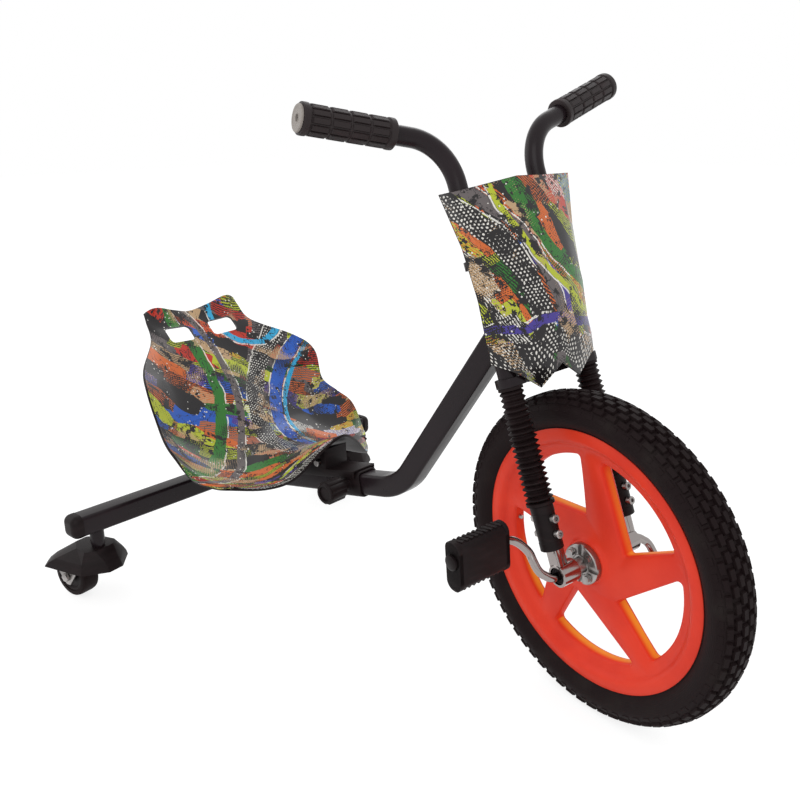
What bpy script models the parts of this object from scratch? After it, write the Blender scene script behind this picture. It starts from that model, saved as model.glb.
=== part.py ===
"""A child's pedal drift tricycle: one 16 inch front wheel with cranks on its hub, a raked
fork that runs on up into the handlebar, a bent square beam, a bucket seat on a slider and
a rear cross tube on two swivel casters.

Lengths are metres. X points forward, Y to the rider's left, Z up. The parts are drawn with
the front axle above x = 0 and the wheels straight ahead. The steering is then turned to its
rest angle, and the whole is moved so that the middle of its footprint is the origin.
"""
from math import cos, pi, radians, sin, tan

import bpy
import bmesh
from mathutils import Matrix, Vector
from mathutils.bvhtree import BVHTree

# Clearances
SEAT_GAP = 0.0003
SLIDE_GAP = 0.0004
RUNNING_GAP = 0.0004

# Small chamfer on turned edges
EDGE = 0.001

# Front wheel
TYRE_RADIUS = 0.203
TYRE_WIDTH = 0.053
TYRE_WALL = 0.0045
TYRE_TREAD = 0.007
TYRE_SIDE_DROP = 0.024
TYRE_SHOULDER = 0.010
TYRE_BEAD_LIFT = 0.002
RIM_RADIUS = 0.162
RIM_HALF_WIDTH = 0.0185
RIM_WELL_RADIUS = 0.151
RIM_FLANGE = 0.0024
RIM_DRAFT = 0.0015
RIM_SLOPE_START = 0.003
RIM_SLOPE_END = 0.010
WEB_HALF_WIDTH = 0.011
WINDOW_COUNT = 5
WINDOW_INNER_RADIUS = 0.059
WINDOW_OUTER_RADIUS = 0.138
WINDOW_START = radians(28.8)
WINDOW_END = radians(85.8)
WINDOW_OVERCUT = 0.002
WINDOW_CORNER = 0.007
WINDOW_TIP = 0.003
HUB_RADIUS = 0.0275
HUB_HALF_WIDTH = 0.017
HUB_SLOPE = 0.003
FLANGE_RADIUS = 0.025
FLANGE_THICKNESS = 0.0086
FLANGE_NECK_RADIUS = 0.0095
FLANGE_GROOVE_WIDTH = 0.007
FLANGE_GROOVE_DEPTH = 0.003
HUB_STUD_CIRCLE = 0.0175
HUB_STUD_COUNT = 4
HUB_STUD_RADIUS = 0.0025
HUB_NUT_RADIUS = 0.00425
HUB_NUT_HEIGHT = 0.003
VALVE_ANGLE = radians(178)
VALVE_RADIUS = 0.003
VALVE_LENGTH = 0.030

# Cranks and pedals
AXLE_RADIUS = 0.005
CRANK_LENGTH = 0.063
CRANK_REST_ANGLE = radians(123.8)
CRANK_SLOPE = ((0.0, 0.066), (0.12, 0.079), (0.32, 0.088), (0.62, 0.094), (0.88, 0.101), (1.0, 0.106))
PEDAL_INNER = 0.113
PEDAL_LENGTH = 0.072
PEDAL_HEIGHT = 0.060
PEDAL_THICKNESS = 0.024
PEDAL_DROP = 0.006
PEDAL_LEFT_TURN = radians(-72)
PEDAL_EDGE = 0.005
PEDAL_CAP_RADIUS = 0.009
PEDAL_CAP_THICKNESS = 0.004
SPINDLE_END = 0.0024

# Fork, measured along the legs from the axle
RAKE = radians(19.3)
FORK_OFFSET = 0.030
LEG_Y = 0.060
LEG_RADIUS = 0.011
TUBE_WALL = 0.0015
LEG_START = 0.032
SLEEVE_LENGTH = 0.053
SLEEVE_RADIUS = 0.0135
GAITER_LENGTH = 0.1375
GAITER_CREST = 0.0165
GAITER_TOP_CREST = 0.0143
GAITER_RIB = 0.0028
GAITER_RIBS = 20
GAITER_CUFF = 0.004
CROWN_THICKNESS = 0.010
CROWN_EAR_RADIUS = 0.0145
CROWN_HUB_RADIUS = 0.020
CROWN_WAIST = 0.008
CUP_HEIGHT = 0.0075
CUP_SPIGOT = 0.008
CUP_RADIUS = 0.020
HEAD_TUBE_LENGTH = 0.110
HEAD_TUBE_RADIUS = 0.017
HEAD_TUBE_WALL = 0.002
STEERER_RADIUS = 0.011
STEERER_HEAD_RADIUS = 0.016
STEERER_HEAD_HEIGHT = 0.004
STEERER_NUT_RADIUS = 0.016
STEERER_NUT_HEIGHT = 0.009
LEG_BOLT_PLACES = (0.018, 0.036)
LEG_BOLT_RADIUS = 0.003
LEG_BOLT_HEAD_RADIUS = 0.005
LEG_BOLT_HEAD_HEIGHT = 0.006
FORK_END_DEPTH = 0.045
FORK_END_WIDTH = 0.015
FORK_END_INWARD = 0.010
HOUSING_RADIUS = 0.0135
HOUSING_WALL = 0.003
HOUSING_INNER = 0.038
HOUSING_OUTER = 0.064

# Handlebar
BAR_CORNER = 0.500
BAR_REACH = (-0.028, 0.166, 0.0415)
BAR_BEND_RADIUS = 0.060
GRIP_LENGTH = 0.106
GRIP_RADIUS = 0.0155
GRIP_COLLAR_RADIUS = 0.0170
GRIP_COLLAR_LENGTH = 0.008
GRIP_BANDS = 4
GRIP_GROOVE_DEPTH = 0.0012
GRIP_GROOVE_LENGTH = 0.003
PLUG_THICKNESS = 0.0025
PLUG_RADIUS = 0.0145
PLUG_SPIGOT = 0.012
PLUG_HOLE_RADIUS = 0.004
PLUG_HOLE_DEPTH = 0.006

# Fairing
FAIRING_THICKNESS = 0.0025
FAIRING_TONGUE_WIDTH = 0.024
FAIRING_TONGUE_THICKNESS = 0.004
FAIRING_PAD_START = 0.060
FAIRING_PAD_DOWN = 0.018
FAIRING_PAD_UP = 0.022

# Frame
BEAM_SIZE = 0.031
BEAM_CORNER = 0.0045
BEAM_WALL = 0.002
REAR_X = -0.6877
REAR_Z = 0.138
BEAM_SLOPE = radians(10.4)
BEAM_BEND_X = -0.308
BEAM_RISE = radians(56)
BEAM_BEND_RADIUS = 0.080
REAR_HALF_LENGTH = 0.3085
END_CAP_LENGTH = 0.017
END_CAP_LIP = 0.002
END_CAP_CORNER = 0.009
END_CAP_ROUND = 0.010
END_CAP_SPIGOT = 0.012

# Casters
CASTER_Y = 0.265
CASTER_TRAIL = 0.060
CASTER_REST = radians(-9)
CASTER_WHEEL_RADIUS = 0.034
CASTER_WHEEL_WIDTH = 0.028
CASTER_TREAD = 0.009
CASTER_HUB_LENGTH = 0.031
CASTER_AXLE_RADIUS = 0.004
CASTER_NUT_RADIUS = 0.007
CASTER_NUT_HEIGHT = 0.005
STEM_RADIUS = 0.0105
STEM_COLLAR = 0.0265
STEM_PIN_RADIUS = 0.006
STEM_HEAD_RADIUS = 0.009
STEM_HEAD_HEIGHT = 0.003
STEM_DEPTH = 0.012
COVER_WALL = 0.002
COVER_HOLLOW = 0.030
COVER_CORNER = 0.003
YOKE_PLATE = 0.003
YOKE_TOP = (-0.024, 0.0095)
YOKE_BELLY = ((-0.022, 0.010), (0.024, 0.012))
YOKE_TIP = 0.013
YOKE_TIP_HALF = 0.004
YOKE_TIP_SHIFT = 0.001

# Seat
SEAT_THICKNESS = 0.004
SEAT_SMOOTHING = 1
SLIDER_X = -0.403
SLIDER_LENGTH = 0.052
SLIDER_WALL = 0.003
BOSS_RADIUS = 0.009
BOSS_LENGTH = 0.011
KNOB_RADIUS = 0.017
KNOB_LENGTH = 0.033
KNOB_FLUTES = 9
KNOB_FLUTE_DEPTH = 0.0012
KNOB_SCREW_RADIUS = 0.004
BRACKET_WALL = 0.003
BRACKET_REAR_X = -0.560
BRACKET_STEP_X = -0.444
BRACKET_FRONT_X = -0.386
BRACKET_LIFT = 0.0105
BRACKET_TOP_STEPS = 8
BRACKET_ROOM_FRONT = 0.047
BRACKET_ROOM_REAR = 0.036
BRACKET_BOLT_RADIUS = 0.003
BRACKET_BOLT_BACK = 0.014
BRACKET_BOLT_LIFT = 0.032
SLOT_SIZE = (0.045, 0.026)
SLOT_CORNER = 0.008
SLOT_Y = 0.0425
SLOT_Z = 0.364

# Rest pose
STEER_REST = radians(-12.9)

ROUND_FINE = 36
ROUND = 16
ROUND_SMALL = 10
ROUND_HOLE = 6
GRIP_SIDES = 12
CASTER_SIDES = 16
TUBE_RESOLUTION = 3
TUBE_SIDES = 4 + 2 * TUBE_RESOLUTION

# Directions of the fork: up along the legs, and square to them, forward
UP_FORK = Vector((-sin(RAKE), 0, cos(RAKE)))
AHEAD_FORK = Vector((cos(RAKE), 0, sin(RAKE)))
LEFT = Vector((0, 1, 0))
AXLE = Vector((0, 0, TYRE_RADIUS))
STEER_FOOT = AXLE - AHEAD_FORK * FORK_OFFSET

BEAM_WAY = Vector((cos(BEAM_SLOPE), 0, sin(BEAM_SLOPE)))
BEAM_UP = Vector((-sin(BEAM_SLOPE), 0, cos(BEAM_SLOPE)))

# Stations along the fork, counted from the axle
GAITER_START = LEG_START + SLEEVE_LENGTH + SEAT_GAP
LOWER_CROWN = GAITER_START + GAITER_LENGTH + SEAT_GAP
LOWER_CUP = LOWER_CROWN + CROWN_THICKNESS + RUNNING_GAP
HEAD_START = LOWER_CUP + CUP_HEIGHT + SEAT_GAP
HEAD_END = HEAD_START + HEAD_TUBE_LENGTH
UPPER_CUP = HEAD_END + SEAT_GAP
UPPER_CROWN = UPPER_CUP + CUP_HEIGHT + RUNNING_GAP
CROWN_TOP = UPPER_CROWN + CROWN_THICKNESS

BLACK_PAINT = ("black_paint", (0.022, 0.020, 0.022), 0.35, 0.0)
BLACK_RUBBER = ("black_rubber", (0.020, 0.019, 0.020), 0.75, 0.0)
BLACK_PLASTIC = ("black_plastic", (0.030, 0.028, 0.030), 0.45, 0.0)
CHROME = ("chrome", (0.55, 0.54, 0.52), 0.22, 1.0)
ZINC = ("zinc", (0.45, 0.42, 0.38), 0.40, 1.0)
RED_PLASTIC = ("red_plastic", (0.80, 0.075, 0.030), 0.40, 0.0)
PRINT_SEAT = ("seat_print", (0.35, 0.33, 0.12), 0.25, 0.0)
PRINT_FAIRING = ("fairing_print", (0.22, 0.12, 0.10), 0.25, 0.0)
GREY_PLASTIC = ("grey_plastic", (0.42, 0.40, 0.38), 0.50, 0.0)


def clear_scene():
    for old in list(bpy.data.objects):
        bpy.data.objects.remove(old, do_unlink=True)


def make_collection(name):
    group = bpy.data.collections.new(name)
    bpy.context.scene.collection.children.link(group)
    return group


class Workshop:
    """Keeps the two collections and the pivot that new pieces are parented to."""

    def __init__(self):
        self.parts = make_collection("tricycle")
        self.cutters = make_collection("cutters")
        self.pivot = None
        self.materials = {}

    def material(self, spec):
        name, color, roughness, metallic = spec
        if name not in self.materials:
            made = bpy.data.materials.new(name)
            made.use_nodes = True
            shader = made.node_tree.nodes["Principled BSDF"]
            shader.inputs["Base Color"].default_value = (*color, 1.0)
            shader.inputs["Roughness"].default_value = roughness
            shader.inputs["Metallic"].default_value = metallic
            made.diffuse_color = (*color, 1.0)
            self.materials[name] = made
        return self.materials[name]

    def hold(self, thing):
        if self.pivot is not None:
            thing.parent = self.pivot
            thing.matrix_parent_inverse = world_of(self.pivot).inverted()

    def part(self, thing, name, spec):
        thing.name = name
        thing.data.name = name
        thing.data.materials.clear()
        thing.data.materials.append(self.material(spec))
        thing.data.shade_smooth()
        thing.data.set_sharp_from_angle(angle=radians(35))
        self.parts.objects.link(thing)
        self.hold(thing)
        return thing

    def cutter(self, thing, name):
        thing.name = name
        thing.hide_render = True
        thing.display_type = "WIRE"
        self.cutters.objects.link(thing)
        self.hold(thing)
        return thing

    def pivot_at(self, name, place, axis=None, parent=None):
        """An empty whose local Z runs along a joint's axis."""
        empty = bpy.data.objects.new(name, None)
        empty.empty_display_size = 0.05
        self.parts.objects.link(empty)
        turn = Matrix.Identity(4)
        if axis is not None:
            turn = axis.to_track_quat("Z", "Y").to_matrix().to_4x4()
        wanted = Matrix.Translation(place) @ turn
        empty["drawn_at"] = [value for row in wanted for value in row]
        if parent is not None:
            empty.parent = parent
            empty.matrix_parent_inverse = world_of(parent).inverted()
        empty.matrix_basis = wanted
        return empty


def world_of(empty):
    """Where a pivot was drawn, before it is turned to its rest angle."""
    values = list(empty["drawn_at"])
    return Matrix([values[row * 4:row * 4 + 4] for row in range(4)])


def cut(thing, cutter, operation="DIFFERENCE"):
    step = thing.modifiers.new(cutter.name, "BOOLEAN")
    step.operation = operation
    step.solver = "EXACT"
    step.object = cutter


def round_edges(thing, width, segments=2, angle=40):
    step = thing.modifiers.new("rounding", "BEVEL")
    step.width = width
    step.segments = segments
    step.limit_method = "ANGLE"
    step.angle_limit = radians(angle)


def mesh_object(mesh, matrix=None):
    thing = bpy.data.objects.new("piece", mesh)
    if matrix is not None:
        thing.matrix_world = matrix
    return thing


def baked(thing):
    """A plain mesh object from an object with curves or modifiers, with its caps welded."""
    bpy.context.scene.collection.objects.link(thing)
    bpy.context.view_layer.update()
    seen = thing.evaluated_get(bpy.context.evaluated_depsgraph_get())
    mesh = bpy.data.meshes.new_from_object(seen)
    form = bmesh.new()
    form.from_mesh(mesh)
    bmesh.ops.remove_doubles(form, verts=form.verts, dist=0.000001)
    bmesh.ops.recalc_face_normals(form, faces=form.faces)
    form.to_mesh(mesh)
    form.free()
    solid = bpy.data.objects.new("piece", mesh)
    solid.matrix_world = thing.matrix_world.copy()
    bpy.data.objects.remove(thing, do_unlink=True)
    return solid


def box(low, high, matrix=None):
    """A box between two corners, in the axes of a matrix."""
    form = bmesh.new()
    size = [b - a for a, b in zip(low, high)]
    middle = [(a + b) / 2 for a, b in zip(low, high)]
    place = Matrix.Translation(middle) @ Matrix.Diagonal((*size, 1.0))
    bmesh.ops.create_cube(form, size=1.0, matrix=place)
    mesh = bpy.data.meshes.new("box")
    form.to_mesh(mesh)
    form.free()
    return mesh_object(mesh, matrix)


def bar(radius, start, end, sides=ROUND, matrix=None):
    """A cylinder along the local Z of a matrix, from start to end."""
    form = bmesh.new()
    place = Matrix.Translation((0, 0, (start + end) / 2))
    bmesh.ops.create_cone(form, cap_ends=True, segments=sides, radius1=radius,
                          radius2=radius, depth=end - start, matrix=place)
    mesh = bpy.data.meshes.new("bar")
    form.to_mesh(mesh)
    form.free()
    return mesh_object(mesh, matrix)


def turned(profile, matrix, steps=ROUND, closed=False):
    """A profile of (radius, height), outer side top to bottom, turned about local Z."""
    mesh = bpy.data.meshes.new("turned")
    points = [(radius, 0, height) for radius, height in profile]
    edges = [(i, i + 1) for i in range(len(points) - 1)]
    if closed:
        edges.append((len(points) - 1, 0))
    mesh.from_pydata(points, edges, [])
    thing = mesh_object(mesh, matrix)
    step = thing.modifiers.new("turning", "SCREW")
    step.axis = "Z"
    step.steps = steps
    step.render_steps = steps
    step.use_merge_vertices = True
    step.merge_threshold = 0.000001
    return thing


def plate(outlines, thickness, matrix):
    """A flat plate in the local XY of a matrix, centred on it; later outlines are holes."""
    curve = bpy.data.curves.new("plate", "CURVE")
    curve.dimensions = "2D"
    curve.fill_mode = "BOTH"
    curve.extrude = thickness / 2
    curve.resolution_u = 1
    for outline in outlines:
        spline = curve.splines.new("POLY")
        spline.points.add(len(outline) - 1)
        for point, (across, along) in zip(spline.points, outline):
            point.co = (across, along, 0, 1)
        spline.use_cyclic_u = True
    thing = bpy.data.objects.new("plate", curve)
    thing.matrix_world = matrix
    return baked(thing)


def tube(points, radius):
    """A round bar along a row of points, with filled caps."""
    curve = bpy.data.curves.new("tube", "CURVE")
    curve.dimensions = "3D"
    curve.fill_mode = "FULL"
    curve.bevel_depth = radius
    curve.bevel_resolution = TUBE_RESOLUTION
    curve.use_fill_caps = True
    curve.resolution_u = 1
    curve.render_resolution_u = 0
    curve.twist_mode = "MINIMUM"
    spline = curve.splines.new("POLY")
    spline.points.add(len(points) - 1)
    for point, place in zip(spline.points, points):
        point.co = (*place, 1)
    return baked(bpy.data.objects.new("tube", curve))


def swept(outline, points):
    """A bar of any section along a row of points that bend only in an upright plane."""
    section = bpy.data.curves.new("section", "CURVE")
    section.dimensions = "2D"
    section.resolution_u = 1
    edge = section.splines.new("POLY")
    edge.points.add(len(outline) - 1)
    for point, (across, along) in zip(edge.points, outline):
        point.co = (across, along, 0, 1)
    edge.use_cyclic_u = True
    shape = bpy.data.objects.new("section", section)
    curve = bpy.data.curves.new("sweep", "CURVE")
    curve.dimensions = "3D"
    curve.bevel_mode = "OBJECT"
    curve.bevel_object = shape
    curve.use_fill_caps = True
    curve.resolution_u = 1
    curve.render_resolution_u = 0
    curve.twist_mode = "Z_UP"
    spline = curve.splines.new("POLY")
    spline.points.add(len(points) - 1)
    for point, place in zip(spline.points, points):
        point.co = (*place, 1)
    solid = baked(bpy.data.objects.new("sweep", curve))
    bpy.data.objects.remove(shape, do_unlink=True)
    return solid


def circle(radius, sides=ROUND, centre=(0, 0)):
    turns = [2 * pi * i / sides for i in range(sides)]
    return [(centre[0] + radius * cos(a), centre[1] + radius * sin(a)) for a in turns]


def rounded(corners, radius, segments=3):
    """A closed outline whose corners are rounded; radius is one value or one per corner."""
    radii = radius if isinstance(radius, (list, tuple)) else [radius] * len(corners)
    outline = []
    count = len(corners)
    for i, corner in enumerate(corners):
        here = Vector(corner)
        before = (Vector(corners[i - 1]) - here).normalized()
        after = (Vector(corners[(i + 1) % count]) - here).normalized()
        if radii[i] <= 0:
            outline.append(tuple(here))
            continue
        half = before.angle(after) / 2
        middle = here + (before + after).normalized() * (radii[i] / sin(half))
        reach = radii[i] / tan(half)
        start = here + before * reach - middle
        sweep = pi - 2 * half
        side = 1 if start.cross(here + after * reach - middle) > 0 else -1
        for step in range(segments + 1):
            angle = side * sweep * step / segments
            turn = Matrix.Rotation(angle, 2)
            outline.append(tuple(middle + turn @ start))
    return outline


def square(half_x, half_y, corner, segments=3):
    corners = [(-half_x, -half_y), (half_x, -half_y), (half_x, half_y), (-half_x, half_y)]
    return rounded(corners, corner, segments)


def bend(start, corner, end, radius, segments):
    """Points of a straight run, a bend of one radius and a straight run."""
    before = (start - corner).normalized()
    after = (end - corner).normalized()
    half = before.angle(after) / 2
    reach = radius / tan(half)
    middle = corner + (before + after).normalized() * (radius / sin(half))
    first = corner + before * reach - middle
    axis = first.cross(corner + after * reach - middle).normalized()
    points = [start]
    for step in range(segments + 1):
        turn = Matrix.Rotation((pi - 2 * half) * step / segments, 3, axis)
        points.append(middle + turn @ first)
    points.append(end)
    return points


def smooth_path(points, steps):
    """Points along a smooth curve through the given ones."""
    made = []
    for i in range(len(points) - 1):
        before = points[max(i - 1, 0)]
        here = points[i]
        there = points[i + 1]
        beyond = points[min(i + 2, len(points) - 1)]
        for step in range(steps):
            t = step / steps
            made.append(here + (there - before) * (t / 2)
                        + (before * 2 - here * 5 + there * 4 - beyond) * (t * t / 2)
                        + (here * 3 - before - there * 3 + beyond) * (t ** 3 / 2))
    made.append(points[-1])
    return made


def axes_at(place, x_way, z_way):
    """A matrix at a place with the given local X and Z directions."""
    z_way = z_way.normalized()
    x_way = x_way.normalized()
    y_way = z_way.cross(x_way)
    turn = Matrix((x_way, y_way, z_way)).transposed()
    return Matrix.Translation(place) @ turn.to_4x4()


def fork_axes(side=0.0, ahead=0.0):
    """Local Z up along the fork, counted from the axle, local X forward."""
    place = STEER_FOOT + AHEAD_FORK * ahead + LEFT * side
    return axes_at(place, AHEAD_FORK, UP_FORK)


def leg_axes(side):
    return fork_axes(side * LEG_Y, FORK_OFFSET)


def axle_axes(place=AXLE):
    """Local Z to the rider's left, local X forward."""
    return axes_at(place, Vector((1, 0, 0)), LEFT)


def around(radius, gap, sides):
    """Corner radius of a faceted bore whose flats keep the gap to a round bar."""
    return (radius + gap) / cos(pi / sides)


def leg_bore():
    """Radius of a round plug that keeps its gap to the flats inside the faceted fork tube."""
    return (LEG_RADIUS - TUBE_WALL) * cos(pi / TUBE_SIDES) - SEAT_GAP


def side_name(side):
    return "left" if side > 0 else "right"


def ring(outer, inner, start, end):
    return [(outer, end), (outer, start), (inner, start), (inner, end)]


def beam_corner():
    rise = (BEAM_BEND_X - REAR_X) * tan(BEAM_SLOPE)
    return Vector((BEAM_BEND_X, 0, REAR_Z + rise))


def beam_height(x):
    """Height of the beam's centre line on its long straight run."""
    return REAR_Z + (x - REAR_X) * tan(BEAM_SLOPE)


def beam_line(overrun):
    """The beam's centre line, running on past its two joints by the given length."""
    corner = beam_corner()
    rise = Vector((cos(BEAM_RISE), 0, sin(BEAM_RISE)))
    start = Vector((REAR_X, 0, REAR_Z)) - BEAM_WAY * overrun
    along = AHEAD_FORK.dot(STEER_FOOT - corner) / AHEAD_FORK.dot(rise)
    end = corner + rise * (along + overrun)
    return bend(start, corner, end, BEAM_BEND_RADIUS, 6)


def side_axes():
    """Local X forward and local Y up, so an outline of (x, z) stands in the middle plane."""
    return axes_at(Vector((0, 0, 0)), Vector((1, 0, 0)), -LEFT)


def make_main_beam(shop):
    half = BEAM_SIZE / 2
    inner = half - BEAM_WALL
    beam = swept(square(half, half, BEAM_CORNER, 2), beam_line(half))
    hollow = swept(square(inner, inner, BEAM_CORNER - BEAM_WALL, 1), beam_line(BEAM_SIZE))
    reach = half + SEAT_GAP
    rear = box((REAR_X - BEAM_SIZE * 2, -BEAM_SIZE, REAR_Z - BEAM_SIZE * 2),
               (REAR_X + reach, BEAM_SIZE, REAR_Z + BEAM_SIZE * 2))
    head = bar(HEAD_TUBE_RADIUS + SEAT_GAP, HEAD_START - BEAM_SIZE, HEAD_END + BEAM_SIZE, ROUND, fork_axes())
    beyond = box((0, -BEAM_SIZE, HEAD_START - BEAM_SIZE), (BEAM_SIZE * 3, BEAM_SIZE, HEAD_END + BEAM_SIZE),
                 fork_axes())
    cut(beam, shop.cutter(hollow, "beam_hollow"))
    cut(beam, shop.cutter(rear, "beam_rear_end"))
    cut(beam, shop.cutter(head, "beam_head_end"))
    cut(beam, shop.cutter(beyond, "beam_front_end"))
    shop.part(beam, "main_beam", BLACK_PAINT)


def rear_axes():
    """Local Z along the rear cross tube, to the rider's left."""
    return axle_axes(Vector((REAR_X, 0, REAR_Z)))


def make_rear_cross_tube(shop):
    half = BEAM_SIZE / 2
    inner = half - BEAM_WALL
    outlines = [square(half, half, BEAM_CORNER), square(inner, inner, BEAM_CORNER - BEAM_WALL)]
    length = 2 * (REAR_HALF_LENGTH - END_CAP_LENGTH)
    tube_piece = plate(outlines, length, rear_axes())
    for side in (-1, 1):
        hole = bar(around(STEM_PIN_RADIUS, SEAT_GAP, ROUND_SMALL), REAR_Z - BEAM_SIZE, REAR_Z, ROUND_SMALL,
                   Matrix.Translation((REAR_X, side * CASTER_Y, 0)))
        cut(tube_piece, shop.cutter(hole, "stem_hole_" + side_name(side)))
    shop.part(tube_piece, "rear_cross_tube", BLACK_PAINT)


def make_end_cap(shop, side):
    """A domed plastic cap, a little wider than the tube, with a spigot in its open end."""
    half = BEAM_SIZE / 2
    wide = half + END_CAP_LIP
    start = REAR_HALF_LENGTH - END_CAP_LENGTH + SEAT_GAP
    place = rear_axes() @ Matrix.Diagonal((1, side, side, 1))
    cap = plate([square(wide, wide, END_CAP_CORNER)], REAR_HALF_LENGTH - start, Matrix.Identity(4))
    form = bmesh.new()
    form.from_mesh(cap.data)
    top = max(vert.co.z for vert in form.verts)
    rim = [edge for edge in form.edges if all(abs(v.co.z - top) < 0.00001 for v in edge.verts)]
    rim = [edge for edge in rim if any(abs(f.normal.z) < 0.5 for f in edge.link_faces)]
    bmesh.ops.bevel(form, geom=rim, offset=END_CAP_ROUND, segments=3, affect="EDGES", profile=0.5,
                    clamp_overlap=True)
    form.to_mesh(cap.data)
    form.free()
    cap.matrix_world = place @ Matrix.Translation((0, 0, (start + REAR_HALF_LENGTH) / 2))
    inner = half - BEAM_WALL - SEAT_GAP
    overlap = 0.001
    spigot_length = END_CAP_SPIGOT + overlap
    middle = start + overlap - spigot_length / 2
    spigot = plate([square(inner, inner, BEAM_CORNER - BEAM_WALL)], spigot_length,
                   place @ Matrix.Translation((0, 0, middle)))
    cut(cap, shop.cutter(spigot, "cap_spigot_" + side_name(side)), "UNION")
    shop.part(cap, "rear_end_cap_" + side_name(side), BLACK_PLASTIC)


def make_head_tube(shop):
    profile = ring(HEAD_TUBE_RADIUS, HEAD_TUBE_RADIUS - HEAD_TUBE_WALL, HEAD_START, HEAD_END)
    shop.part(turned(profile, fork_axes(), ROUND, True), "head_tube", BLACK_PAINT)


def make_headset_cups(shop):
    bore = around(STEERER_RADIUS, RUNNING_GAP, ROUND)
    spigot = HEAD_TUBE_RADIUS - HEAD_TUBE_WALL - SEAT_GAP
    lower_top = LOWER_CUP + CUP_HEIGHT
    lower = [(spigot, lower_top + CUP_SPIGOT), (spigot, lower_top), (CUP_RADIUS, lower_top),
             (CUP_RADIUS - 0.002, LOWER_CUP), (bore, LOWER_CUP), (bore, lower_top + CUP_SPIGOT)]
    upper_top = UPPER_CUP + CUP_HEIGHT
    upper = [(CUP_RADIUS - 0.002, upper_top), (CUP_RADIUS, UPPER_CUP), (spigot, UPPER_CUP),
             (spigot, UPPER_CUP - CUP_SPIGOT), (bore, UPPER_CUP - CUP_SPIGOT), (bore, upper_top)]
    shop.part(turned(lower, fork_axes(), ROUND, True), "headset_cup_lower", ZINC)
    shop.part(turned(upper, fork_axes(), ROUND, True), "headset_cup_upper", ZINC)


def crown_outline():
    """Plan of a fork crown: two ears round the legs and a round hub about the steerer."""
    ear = CROWN_EAR_RADIUS
    hub = CROWN_HUB_RADIUS
    half_front = [(FORK_OFFSET + CROWN_WAIST, LEG_Y - ear * 1.5), (FORK_OFFSET + ear, LEG_Y - ear * 0.8),
                  (FORK_OFFSET + ear, LEG_Y + ear), (FORK_OFFSET - ear, LEG_Y + ear),
                  (FORK_OFFSET - ear, LEG_Y - ear), (-hub, hub * 0.6)]
    other = [(x, -y) for x, y in half_front[::-1]]
    radii = [0.004, ear * 0.3, ear * 0.8, ear * 0.8, 0.006, hub * 0.45]
    return rounded(half_front + other, radii + radii[::-1], 3)


def make_crowns(shop):
    leg_hole = around(LEG_RADIUS, SEAT_GAP, ROUND)
    holes = [circle(around(STEERER_RADIUS, SEAT_GAP, ROUND)),
             circle(leg_hole, ROUND, (FORK_OFFSET, LEG_Y)),
             circle(leg_hole, ROUND, (FORK_OFFSET, -LEG_Y))]
    for name, start in (("fork_crown_lower", LOWER_CROWN), ("fork_crown_upper", UPPER_CROWN)):
        place = fork_axes() @ Matrix.Translation((0, 0, start + CROWN_THICKNESS / 2))
        shop.part(plate([crown_outline()] + holes, CROWN_THICKNESS, place), name, BLACK_PAINT)


def make_steerer(shop):
    """The bolt through the head tube, with its flat head below and its nut on top."""
    top = CROWN_TOP + STEERER_NUT_HEIGHT + 2 * SEAT_GAP
    foot = LOWER_CROWN - SEAT_GAP
    profile = [(0, top), (STEERER_RADIUS, top), (STEERER_RADIUS, foot), (STEERER_HEAD_RADIUS, foot),
               (STEERER_HEAD_RADIUS, foot - STEERER_HEAD_HEIGHT), (0, foot - STEERER_HEAD_HEIGHT)]
    steerer = turned(profile, fork_axes())
    start = CROWN_TOP + SEAT_GAP
    place = fork_axes() @ Matrix.Translation((0, 0, start + STEERER_NUT_HEIGHT / 2))
    nut = plate([circle(STEERER_NUT_RADIUS, 6)], STEERER_NUT_HEIGHT, place)
    cut(steerer, shop.cutter(nut, "steerer_nut"), "UNION")
    shop.part(steerer, "steerer", ZINC)


def bar_corner(side):
    return STEER_FOOT + AHEAD_FORK * FORK_OFFSET + UP_FORK * BAR_CORNER + LEFT * (side * LEG_Y)


def bar_reach(side):
    return Vector((BAR_REACH[0], side * BAR_REACH[1], BAR_REACH[2]))


def bar_axes(side):
    """Local Z out along the grip, counted from the bar's corner."""
    way = bar_reach(side).normalized()
    across = way.cross(Vector((0, 0, 1))).normalized()
    return axes_at(bar_corner(side), across, way)


def leg_bolt_holes(shop, side, name):
    """Cutters for the holes that the two bolts of a leg pass through."""
    made = []
    for number, place in enumerate(LEG_BOLT_PLACES):
        across = leg_axes(side) @ Matrix.Translation((0, 0, LEG_START + place))
        across = across @ Matrix.Rotation(radians(90), 4, "Y")
        hole = bar(around(LEG_BOLT_RADIUS, SEAT_GAP, ROUND_HOLE), -SLEEVE_RADIUS * 2, SLEEVE_RADIUS * 2,
                   ROUND_HOLE, across)
        made.append(shop.cutter(hole, name + "_" + side_name(side) + "_" + str(number + 1)))
    return made


def make_fork_tube(shop, side):
    """One tube, from the leg's lower end up and out to the handlebar's end."""
    foot = leg_axes(side).translation
    start = foot + UP_FORK * LEG_START
    end = bar_corner(side) + bar_reach(side)
    outer = tube(bend(start, bar_corner(side), end, BAR_BEND_RADIUS, 6), LEG_RADIUS)
    way_in = UP_FORK * TYRE_WIDTH
    way_out = bar_reach(side).normalized() * TYRE_WIDTH
    route = bend(start - way_in, bar_corner(side), end + way_out, BAR_BEND_RADIUS, 6)
    hollow = tube(route, LEG_RADIUS - TUBE_WALL)
    cut(outer, shop.cutter(hollow, "tube_hollow_" + side_name(side)))
    for hole in leg_bolt_holes(shop, side, "tube_bolt_hole"):
        cut(outer, hole)
    shop.part(outer, "fork_tube_" + side_name(side), BLACK_PAINT)


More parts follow.
